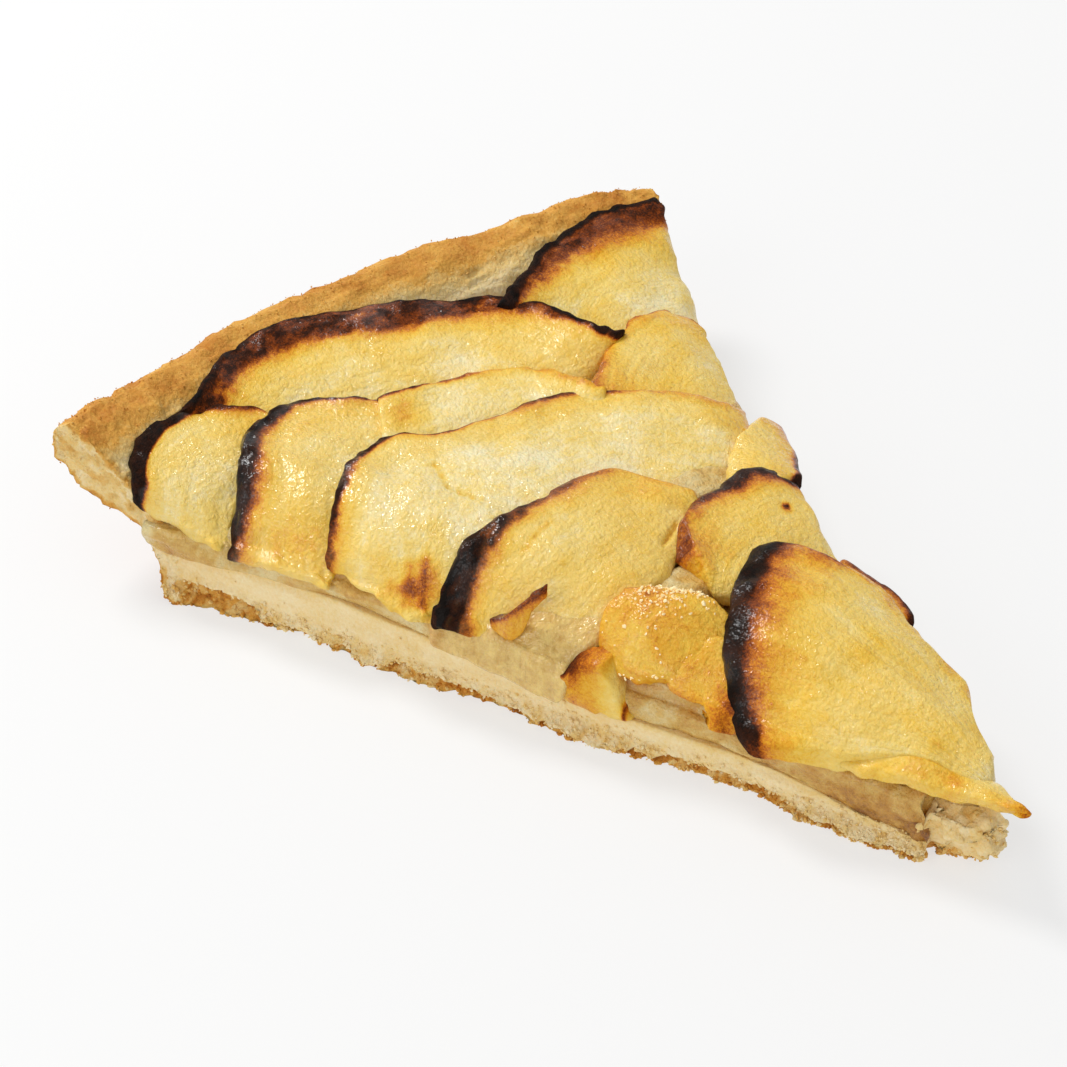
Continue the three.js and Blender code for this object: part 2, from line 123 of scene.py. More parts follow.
def noise(p, size, seed=0):
    """Smooth noise in -1..1 whose bumps are size millimetres wide (one number or three)."""
    p = p / np.asarray(size, float)
    cell = np.floor(p).astype(np.int64)
    f = p - cell
    f = f * f * f * (f * (f * 6 - 15) + 10)
    total = 0
    for corner in np.ndindex(2, 2, 2):
        weight = np.prod(np.where(corner, f, 1 - f), axis=-1)
        total = total + weight * scatter(cell + np.array(corner), seed)
    return total


def layers(p, size, seed, count=3, gain=0.5):
    """Noise with finer noise laid over it."""
    return sum(gain**k * noise(p, np.asarray(size) / 2.1**k, seed + 31 * k) for k in range(count))


def push(p, size, seed, amount):
    """An uneven shift in all three directions."""
    return amount * np.stack([noise(p, size, seed + k) for k in (0, 101, 202)], -1)


def cells(p, size, seed):
    """Distance to the nearest of many scattered points, in 0..1, and that point's own number."""
    p = p / size
    home = np.floor(p).astype(np.int64)
    nearest = np.full(p.shape[:-1], 9.0)
    number = np.zeros(p.shape[:-1])
    for step in np.ndindex(3, 3, 3):
        cell = home + np.array(step) - 1
        centre = cell + 0.5 + 0.42 * np.stack([scatter(cell, seed + k) for k in (1, 2, 3)], -1)
        distance = np.linalg.norm(p - centre, axis=-1)
        closer = distance < nearest
        nearest = np.where(closer, distance, nearest)
        number = np.where(closer, scatter(cell, seed + 4), number)
    return nearest, number


def inside_near(x, y):
    """How far inside the near cut a place lies."""
    return COS * y - SIN * x


def inside_far(x, y):
    return -COS * y - SIN * x


def on_cut(t, out, z=0.0):
    """The place at distance t along the near cut and out in front of it."""
    return np.stack(np.broadcast_arrays(-t * COS + out * SIN, -t * SIN - out * COS, z), -1)


# By distance from the point: the top along the middle and at both cuts, the base's thickness, how far
# the far cut is set back and how far the near cut's foot stands out. rim_swell goes by share of the turn.
middle_top = through([(0, 14), (10, 16), (25, 19), (40, 20.5), (80, 22), (118, 21), (140, 20.5)])
near_top = through([(0, 13), (60, 13), (80, 14.5), (125, 14.5), (132, 16), (140, 21)])
far_top = through([(0, 14), (20, 16), (40, 17), (80, 15.5), (100, 15.5), (120, 17), (140, 21)])
base_top = through([(13, 3.2), (26, 4.8), (34, 6.4), (60, 6.2), (80, 7.6), (95, 8.8), (118, 8)])
far_inset = through([(13, 0.3), (40, 1.6), (75, 2.2), (100, 1.1), (125, 0.6)])
near_foot = through([(13, 0.5), (27, 0.5), (34, -1), (45, -0.9), (58, 0.6), (66, 0.3), (72, -0.5),
                     (82, 0.8), (91, 0.6), (103, -0.6), (112, 0.5), (122, 1.5)])
rim_swell = through([(0, 0.7), (0.1, -0.3), (0.3, -0.8), (0.45, -0.7), (0.7, -0.9), (0.88, 0.4), (1, 0.4)])
NEAR_SHOULDER = 13
FAR_SHOULDER = 14


def top_height(x, y):
    """The domed top of the fruit."""
    r = np.hypot(x, y)
    near = 1 - (1 - np.clip(inside_near(x, y) / NEAR_SHOULDER, 0, 1)) ** 2.2
    far = 1 - (1 - np.clip(inside_far(x, y) / FAR_SHOULDER, 0, 1)) ** 2
    return np.minimum(lerp(near_top(r), middle_top(r), near), lerp(far_top(r), middle_top(r), far))


def spaced(count, evenness=0.8):
    """Shares from 0 to 1 that lie closer together at both ends."""
    t = np.linspace(0, 1, count + 1)
    return t - evenness * np.sin(2 * np.pi * t) / (2 * np.pi)


# ---- meshes --------------------------------------------------------------------------------------


def signed_volume(points, quads):
    a, b, c, d = (points[quads[:, k]] for k in range(4))
    return np.einsum("ij,ij->", a, np.cross(b, c)) + np.einsum("ij,ij->", a, np.cross(c, d))


def add_mesh(name, points, faces, material, paint, smooth=True):
    """A mesh object from millimetre points and faces of one size, with painted numbers per point."""
    if faces.shape[1] == 4 and signed_volume(points, faces) < 0:
        faces = faces[:, ::-1]
    mesh = bpy.data.meshes.new(name)
    mesh.vertices.add(len(points))
    mesh.vertices.foreach_set("co", ((points + POINT_PLACE) * MM).astype(np.float32).ravel())
    mesh.loops.add(faces.size)
    mesh.loops.foreach_set("vertex_index", faces.astype(np.int32).ravel())
    mesh.polygons.add(len(faces))
    mesh.polygons.foreach_set("loop_start", np.arange(0, faces.size, faces.shape[1], dtype=np.int32))
    mesh.polygons.foreach_set("use_smooth", np.full(len(faces), smooth))
    for key, values in paint.items():
        layer = mesh.attributes.new(key, "FLOAT", "POINT")
        layer.data.foreach_set("value", np.broadcast_to(values, len(points)).astype(np.float32))
    mesh.update(calc_edges=True)
    mesh.validate()
    mesh.materials.append(material)
    piece = bpy.data.objects.new(name, mesh)
    bpy.context.scene.collection.objects.link(piece)
    return piece


def box_grid(ni, nk, nj):
    """The outside of a box of cells: index triples of its points, and its quads."""
    counts = (ni, nk, nj)
    weight = ((nk + 1) * (nj + 1), nj + 1, 1)
    quads = []
    for fixed, (m, n) in enumerate([(1, 2), (2, 0), (0, 1)]):
        across = np.arange(counts[m] + 1)[:, None] * weight[m] + np.arange(counts[n] + 1) * weight[n]
        for value in (0, counts[fixed]):
            key = across + value * weight[fixed]
            side = np.stack([key[:-1, :-1], key[1:, :-1], key[1:, 1:], key[:-1, 1:]], -1).reshape(-1, 4)
            quads.append(side if value else side[:, ::-1])
    used, quads = np.unique(np.vstack(quads), return_inverse=True)
    i, rest = np.divmod(used, weight[0])
    k, j = np.divmod(rest, weight[1])
    return i, k, j, quads.reshape(-1, 4)


def pillow_grid(rows, columns):
    """Two sheets sewn together along their borders: sheet, row and column of each point, and quads."""
    grid = np.arange((rows + 1) * (columns + 1)).reshape(rows + 1, columns + 1)
    back = grid + grid.size
    back[0], back[-1] = grid[0], grid[-1]
    back[:, 0], back[:, -1] = grid[:, 0], grid[:, -1]

    def quads(g):
        return np.stack([g[:-1, :-1], g[1:, :-1], g[1:, 1:], g[:-1, 1:]], -1).reshape(-1, 4)

    used, faces = np.unique(np.vstack([quads(grid), quads(back)[:, ::-1]]), return_inverse=True)
    sheet, rest = np.divmod(used, grid.size)
    row, column = np.divmod(rest, columns + 1)
    return sheet, row, column, faces.reshape(-1, 4)


# ---- materials -----------------------------------------------------------------------------------


def linear(rgb):
    """A screen colour in 0..255 as the shader takes it."""
    c = np.array(rgb) / 255
    return (*np.where(c <= 0.04045, c / 12.92, ((c + 0.055) / 1.055) ** 2.4), 1.0)


class Look:
    """A material, with short ways to add its nodes."""

    def __init__(self, name, **constants):
        self.material = bpy.data.materials.new(name)
        self.material.use_nodes = True
        self.tree = self.material.node_tree
        self.shader = self.tree.nodes["Principled BSDF"]
        for key, value in constants.items():
            self.shader.inputs[key.replace("_", " ")].default_value = value
        self.place = self.node("TexCoord").outputs["Object"]

    def node(self, kind, inputs=None, **settings):
        made = self.tree.nodes.new("ShaderNode" + kind)
        for key, value in settings.items():
            setattr(made, key, value)
        for key, value in (inputs or {}).items():
            self.feed(made.inputs[key], value)
        return made

    def feed(self, socket, value):
        if isinstance(value, bpy.types.NodeSocket):
            self.tree.links.new(value, socket)
        else:
            socket.default_value = value

    def painted(self, name):
        return self.node("Attribute", attribute_name=name).outputs["Fac"]

    def noise(self, size, detail=2.0, rough=0.5, place=None):
        """Noise in 0..1 with bumps of that size in mm."""
        inputs = {"Vector": place or self.place, "Scale": 1 / (size * MM), "Detail": detail,
                  "Roughness": rough}
        return self.node("TexNoise", inputs).outputs["Fac"]

    def cells(self, size):
        inputs = {"Vector": self.place, "Scale": 1 / (size * MM)}
        return self.node("TexVoronoi", inputs).outputs["Distance"]

    def math(self, operation, a, b=0.0, c=0.0):
        made = self.node("Math", {0: a, 1: b, 2: c}, operation=operation)
        return made.outputs[0]

    def spread(self, value, amount):
        """A 0..1 value as a swing of that amount either way."""
        return self.math("MULTIPLY_ADD", value, 2 * amount, -amount)

    def range(self, value, a, b, to_a=0.0, to_b=1.0):
        inputs = {"Value": value, "From Min": a, "From Max": b, "To Min": to_a, "To Max": to_b}
        return self.node("MapRange", inputs).outputs[0]

    def colours(self, value, stops):
        made = self.node("ValToRGB", {"Fac": value})
        made.color_ramp.elements[0].position, made.color_ramp.elements[1].position = 0.0, 1.0
        for place, _ in stops[1:-1]:
            made.color_ramp.elements.new(place)
        for element, (place, rgb) in zip(made.color_ramp.elements, stops):
            element.position = place
            element.color = linear(rgb)
        return made.outputs["Color"]

    def blend(self, share, a, b):
        made = self.node("Mix", data_type="RGBA")  # its colour sockets are 6, 7 and 2
        self.feed(made.inputs[0], share)
        self.feed(made.inputs[6], a)
        self.feed(made.inputs[7], b)
        return made.outputs[2]

    def bump(self, height, depth, below=None):
        """Relief of that depth in mm from a 0..1 height."""
        inputs = {"Height": height, "Distance": depth * MM}
        if below:
            inputs["Normal"] = below
        return self.node("Bump", inputs).outputs[0]

    def set(self, **inputs):
        for key, value in inputs.items():
            self.feed(self.shader.inputs[key.replace("_", " ")], value)


FRUIT_STOPS = [
    (0.0, (252, 238, 190)), (0.16, (248, 215, 116)), (0.3, (243, 197, 64)), (0.42, (233, 166, 26)),
    (0.52, (208, 118, 16)), (0.64, (138, 62, 12)), (0.78, (60, 27, 9)), (1.0, (18, 11, 7)),
]
PASTRY_STOPS = [
    (0.0, (250, 230, 184)), (0.22, (240, 206, 132)), (0.42, (226, 168, 72)), (0.62, (196, 124, 36)),
    (0.82, (146, 88, 28)), (1.0, (82, 46, 16)),
]


def fruit_look():
    """Cooked fruit: the bake number runs from pale flesh to black scorch."""
    look = Look("baked_fruit", Subsurface_Scale=0.001, IOR=1.42)
    look.shader.inputs["Subsurface Radius"].default_value = (1.0, 0.7, 0.35)
    look.shader.inputs["Coat Roughness"].default_value = 0.07
    bake, wet, pulp = (look.painted(key) for key in ("bake", "wet", "pulp"))
    along = look.math("MULTIPLY", look.painted("along"), 0.22 * MM)
    across = look.math("MULTIPLY", look.painted("across"), MM)
    fibre_place = look.node("CombineXYZ", {"X": along, "Y": across}).outputs[0]
    fibres = look.noise(1.6, 2, 0.5, place=fibre_place)
    crease = look.range(look.math("ABSOLUTE", look.math("SUBTRACT", fibres, 0.5)), 0.0, 0.02, 1.0, 0.0)
    crease = look.math("MULTIPLY", crease, look.range(look.noise(5.0, 1), 0.48, 0.6))
    grain, blotch = look.noise(0.34, 3, 0.8), look.noise(1.6, 4, 0.7)
    strands = look.noise(1.2, 2, 0.5, place=fibre_place)
    strands = look.math("MULTIPLY", strands, 0.25)
    wrinkles = look.math("MULTIPLY_ADD", look.noise(0.9, 3, 0.62), 0.75, strands)
    marks = look.math("ADD", crease, look.range(look.cells(1.3), 0.06, 0.2, 1.0, 0.0))
    browned = look.range(bake, 0.12, 0.6, 0.18, 0.46)
    toned = look.math("ADD", bake, look.math("MULTIPLY", look.math("SUBTRACT", grain, 0.5), browned))
    toned = look.math("ADD", toned, look.spread(blotch, 0.08))
    toned = look.math("ADD", toned, look.spread(wrinkles, 0.1))
    toned = look.math("ADD", toned, look.math("MULTIPLY", marks, 0.04))
    colour = look.colours(toned, FRUIT_STOPS)
    flesh = look.colours(look.math("MULTIPLY_ADD", wrinkles, 0.5, look.math("MULTIPLY", blotch, 0.5)),
                         [(0.36, (194, 142, 62)), (0.6, (238, 208, 130))])
    scorched = look.range(bake, 0.5, 0.85)
    bare = look.math("MULTIPLY", pulp, look.range(scorched, 0, 1, 0.8, 0.0))
    colour = look.blend(bare, colour, flesh)
    rough = look.math("MULTIPLY_ADD", wet, -0.3, look.range(look.noise(1.2, 2), 0.35, 0.65, 0.42, 0.62))
    rugged = look.math("MULTIPLY", grain, look.range(scorched, 0, 1, 0.4, 1.0))
    relief = look.bump(wrinkles, 0.6, look.bump(marks, -0.03))
    relief = look.bump(rugged, 0.3, relief)
    film = look.math("ADD", look.noise(1.1, 2, 0.6), look.math("MULTIPLY", wrinkles, 0.6))
    look.set(Base_Color=colour, Roughness=look.math("MULTIPLY_ADD", scorched, 0.12, rough), Normal=relief)
    look.set(Specular_IOR_Level=look.range(bake, 0.32, 0.62, 0.45, 0.1))
    look.set(Subsurface_Weight=look.range(bake, 0.3, 0.6, 0.18, 0.0))
    look.set(Coat_Weight=look.range(wet, 0.12, 0.8, 0.0, 0.95), Coat_Normal=look.bump(film, 0.34))
    return look.material


def pulp_look():
    """The soft filling: translucent cooked flesh, from cream to brownish tan."""
    look = Look("soft_filling", Subsurface_Weight=0.12, Subsurface_Scale=0.0015, IOR=1.4)
    look.shader.inputs["Subsurface Radius"].default_value = (1.0, 0.75, 0.4)
    look.shader.inputs["Coat Roughness"].default_value = 0.12
    bake = look.math("ADD", look.painted("bake"), look.spread(look.noise(1.1, 4, 0.75), 0.34))
    stops = [(0.0, (240, 220, 160)), (0.3, (228, 186, 98)), (0.55, (204, 146, 54)), (0.8, (150, 92, 32)),
             (1.0, (90, 52, 22))]
    relief = look.bump(look.noise(0.9, 4, 0.65), 0.9)
    look.set(Base_Color=look.colours(bake, stops), Normal=relief, Coat_Weight=0.35)
    look.set(Roughness=look.range(look.noise(1.5), 0.3, 0.7, 0.2, 0.42))
    return look.material


def pastry_look():
    """Short pastry: the bake number runs from the cream of the cut to the brown of the underside."""
    look = Look("pastry", Subsurface_Weight=0.1, Subsurface_Scale=0.0012, IOR=1.4)
    look.shader.inputs["Subsurface Radius"].default_value = (1.0, 0.6, 0.35)
    grain = look.noise(0.45, 3, 0.7)
    bake = look.math("ADD", look.painted("bake"), look.spread(grain, 0.17))
    bake = look.math("ADD", bake, look.spread(look.noise(3.0, 3), 0.07))
    crumbly = look.math("MULTIPLY", look.cells(0.75), look.painted("loose"))
    relief = look.bump(crumbly, 0.36, look.bump(grain, 0.24))
    look.set(Base_Color=look.colours(bake, PASTRY_STOPS), Normal=relief)
    look.set(Roughness=look.range(look.noise(1.2), 0.3, 0.7, 0.62, 0.85))
    return look.material


def sugar_look():
    # The grains glow faintly: painted light that lifts their shaded facets.
    look = Look("sugar", Roughness=0.15, IOR=1.5, Emission_Strength=0.16)
    look.shader.inputs["Emission Color"].default_value = linear((250, 224, 160))
    look.set(Base_Color=look.colours(look.noise(0.6), [(0.3, (244, 212, 140)), (0.7, (253, 240, 200))]))
    return look.material


FRUIT, PULP, PASTRY, SUGAR = fruit_look(), pulp_look(), pastry_look(), sugar_look()

# ---- fruit ---------------------------------------------------------------------------------------

SPACING = 0.5  # between the points of a slice's mesh
EDGE_POWER = 12  # how square a slice is across, and along
END_POWER = 20
SHARE_STEP = 0.04  # over which a slice's direction is measured


def edge_curve(points, rise=0.0, free=False):
    """A curve through points (x, y, own rise), as a function of the share of its length."""
    places = []
    for x, y, *own in points:
        up = own[0] if own else rise
        lean = 0 if free else max(up, 0)
        places.append((x + LEAN[0] * lean, y + LEAN[1] * lean, up))
    dense = hermite(places, np.linspace(0, len(places) - 1, 40 * len(places)))
    steps = np.linalg.norm(np.diff(dense, axis=0), axis=1)
    share = np.concatenate([[0], np.cumsum(steps)]) / steps.sum()
    return lambda u: np.stack([np.interp(u, share, dense[:, k]) for k in range(3)], -1)


def slice_top(shape):
    """The top of a slice as a function of u along it and v from its outer to its inner edge."""
    free = shape.get("free", False)
    outer = edge_curve(shape["outer"], shape.get("lift", 0), free)
    inner = edge_curve(shape["inner"], -shape.get("dip", 0), free)

    def end(side, middle):
        ends = [outer(side), inner(side)]
        if middle is None:
            return lambda v: lerp(ends[0], ends[1], np.asarray(v)[..., None])
        return edge_curve([ends[0], *middle, ends[1]], free=True)

    start, stop = end(0.0, shape.get("start")), end(1.0, shape.get("end"))

    def place(u, v):
        s, t = u[..., None], v[..., None]
        across = lerp(outer(u), inner(u), t)
        along = lerp(start(v), stop(v), s)
        flat = lerp(lerp(outer(0.0), outer(1.0), s), lerp(inner(0.0), inner(1.0), s), t)
        p = across + along - flat
        if not free:
            crown = shape.get("crown", 0.6) * 4 * v * (1 - v)
            p[..., 2] += top_height(p[..., 0], p[..., 1]) + crown
        return p

    return place


def from_line(p, line):
    """Distance in plan from a line through a few points."""
    best = np.full(p.shape[:-1], 99.0)
    line = np.array(line, float)
    for a, b in zip(line, line[1:]):
        t = np.clip(((p[..., :2] - a) @ (b - a)) / ((b - a) @ (b - a)), 0, 1)
        best = np.minimum(best, np.linalg.norm(p[..., :2] - a - t[..., None] * (b - a), axis=-1))
    return best


def spots(p, places):
    """Round soft spots (x, y, radius, amount), summed."""
    uneven = 1 + 0.35 * noise(p, 1.6, 40)
    total = np.zeros(p.shape[:-1])
    for x, y, radius, amount in places:
        distance = np.hypot(p[..., 0] - x, p[..., 1] - y) * uneven
        total += amount * np.exp(-((distance / radius) ** 2))
    return total


def make_slice(name, shape, number):
    """A dense slice: pillow form, uneven outline, fibres, cracks, and its painted bake and gloss."""
    place = slice_top(shape)
    corners = place(np.linspace(0, 1, 30)[:, None], np.linspace(0, 1, 12)[None])
    along = np.linalg.norm(np.diff(corners, axis=0), axis=-1).sum(0).max()
    width = np.linalg.norm(np.diff(corners, axis=1), axis=-1).sum(1).max()
    rows, columns = (max(12, int(length / SPACING)) for length in (along, width))
    u, v = np.meshgrid(spaced(rows), spaced(columns), indexing="ij")
    top = place(u, v)
    u0, v0 = np.minimum(u, 1 - SHARE_STEP), np.minimum(v, 1 - SHARE_STEP)
    base = place(u0, v0)
    normal = np.cross(place(u0 + SHARE_STEP, v0) - base, place(u0, v0 + SHARE_STEP) - base)
    normal /= np.linalg.norm(normal, axis=-1, keepdims=True)
    outwards = NEAR_OUT if shape.get("free") else np.array([0, 0, 1.0])
    if normal[rows // 2, columns // 2] @ outwards < 0:
        normal = -normal

    across = np.zeros_like(u)
    across[:, 1:] = np.cumsum(np.linalg.norm(np.diff(top, axis=1), axis=-1), axis=1)  # mm from the edge
    runs = (across, u * along) if shape.get("fan") else (u * along, across)
    fibre_place = np.stack([runs[0] / 9, runs[1] / 1.3, np.full_like(u, number)], -1)
    fibres = noise(fibre_place, 1, 5) + 0.5 * noise(fibre_place * (1.6, 2.3, 1), 1, 6)
    jagged = across + shape.get("jag", 1) * (0.5 * noise(top, 2.4, 7) + 0.36 * noise(top, 0.8, 8))
    knots = np.array(shape["burn"], float).T
    strength, core, fade = (np.interp(u, knots[0], knots[k]) for k in (1, 2, 3))
    burn = strength / (1 + (np.maximum(jagged - core, 0) / fade) ** 3)
    if "rim" in shape:
        rim, rim_core, rim_fade = shape["rim"]
        burn = np.maximum(burn, rim / (1 + (np.maximum(jagged - rim_core, 0) / rim_fade) ** 3))
    glow, glow_width = shape.get("glow", (0.12, 3.5))
    tone = shape.get("tone", 0.2) + glow * np.exp(-((jagged / glow_width) ** 2))
    tone += spots(top, shape.get("spots", ()))
    tone += 0.06 * noise(top, 7, 9) + 0.04 * noise(top, 2.5, 22) + 0.04 * fibres
    burn *= 1 + shape.get("mottle", 0.1) * (noise(top, 1.5, 23) + 0.7 * noise(top, 0.6, 24))
    bake = burn + np.clip(tone, 0.02, 1) * (1 - np.minimum(burn, 1))
    scorched = ramp(bake, 0.6, 0.85)
    wet = shape.get("wet", 0.4) + 0.1 + 0.3 * noise(top, 3.4, 10) + spots(top, shape.get("gloss", ()))
    wet -= scorched * shape.get("matte", 0.3) * (1 + noise(top, 1.6, 15)) + 0.4 * ramp(u, 0.88, 1)
    wet = np.clip(wet, 0, 1)

    relief = 0.24 * noise(top, 8, 11) + 0.06 * noise(top, 2.6, 12) + shape.get("wrinkles", 0.04) * fibres
    relief += 0.04 * noise(top, 1.1, 13) + scorched * (0.24 * noise(top, 1.3, 14) + 0.1)
    relief += 0.24 * noise(top, 3.4, 16) * np.exp(-across / 2)
    for line, wide, deep in shape.get("cracks", ()):
        beside = np.exp(-((from_line(top, line) / wide) ** 2))
        relief -= deep * beside
        bake = bake + 0.22 * beside
    square = (1 - np.abs(2 * v - 1) ** EDGE_POWER) * (1 - np.abs(2 * u - 1) ** END_POWER)
    square = np.clip(square, 0, 1) ** 0.36
    thick = lerp(shape["thick"][0], shape["thick"][1], v)

    sheet, row, column, quads = pillow_grid(rows, columns)
    side = 1 - 2 * sheet
    full = square[row, column]
    thick = thick * (1 - shape.get("thinned", 0) * ramp(u, 0.8, 1))
    depth = thick[row, column] * (0.5 - 0.5 * side * full)
    lifted = np.where(sheet == 0, relief[row, column] * full, 0)
    points = top[row, column] + normal[row, column] * (lifted - depth)[:, None]
    inwards = np.minimum.reduce([across, (1 - v) * width, u * along, (1 - u) * along])[row, column]
    border = np.exp(-inwards / 1.2)
    points += push(points, 4.5, 50 + number, 0.35) + push(points, 1.6, 70 + number, 0.4) * border[:, None]
    ragged = shape.get("ragged", 0) * (ramp(u, 0.86, 1) * ramp(v, 1, 0.85) * ramp(v, 0, 0.08))[row, column]
    torn = ragged * (noise(points, 2.6, 19) + 0.5 * noise(points, 1.2, 20))
    points += (NEAR_OUT - (0, 0, 0.5)) * torn[:, None]
    pulp = np.maximum(shape.get("pulp", 0.0), 1.4 * ragged * ramp(u, 0.93, 1)[row, column])
    if "tubes" in shape:
        front = np.exp(-((inside_near(points[:, 0], points[:, 1]) / 3) ** 2))
        tubes = noise(points, (5, 5, 14), 17) + 0.3 * noise(points, (2.4, 2.4, 8), 18)
        points += NEAR_OUT * (shape["tubes"] * tubes * front)[:, None]
    paint = {"bake": bake[row, column], "wet": wet[row, column], "pulp": np.clip(pulp, 0, 1),
             "along": runs[0][row, column] + 40 * number, "across": runs[1][row, column]}
    if "knob" in shape:
        *centre, radius = shape["knob"]
        reach = np.linalg.norm(points - centre, axis=1, keepdims=True)
        points = centre + (points - centre) * np.maximum(1, radius / reach)
    piece = add_mesh(name + "_fruit", points, quads, FRUIT, paint)
    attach(piece, "root")
    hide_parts(name)
    return points[(sheet == 0) & (full > 0.8) & (paint["bake"] < 0.5)]


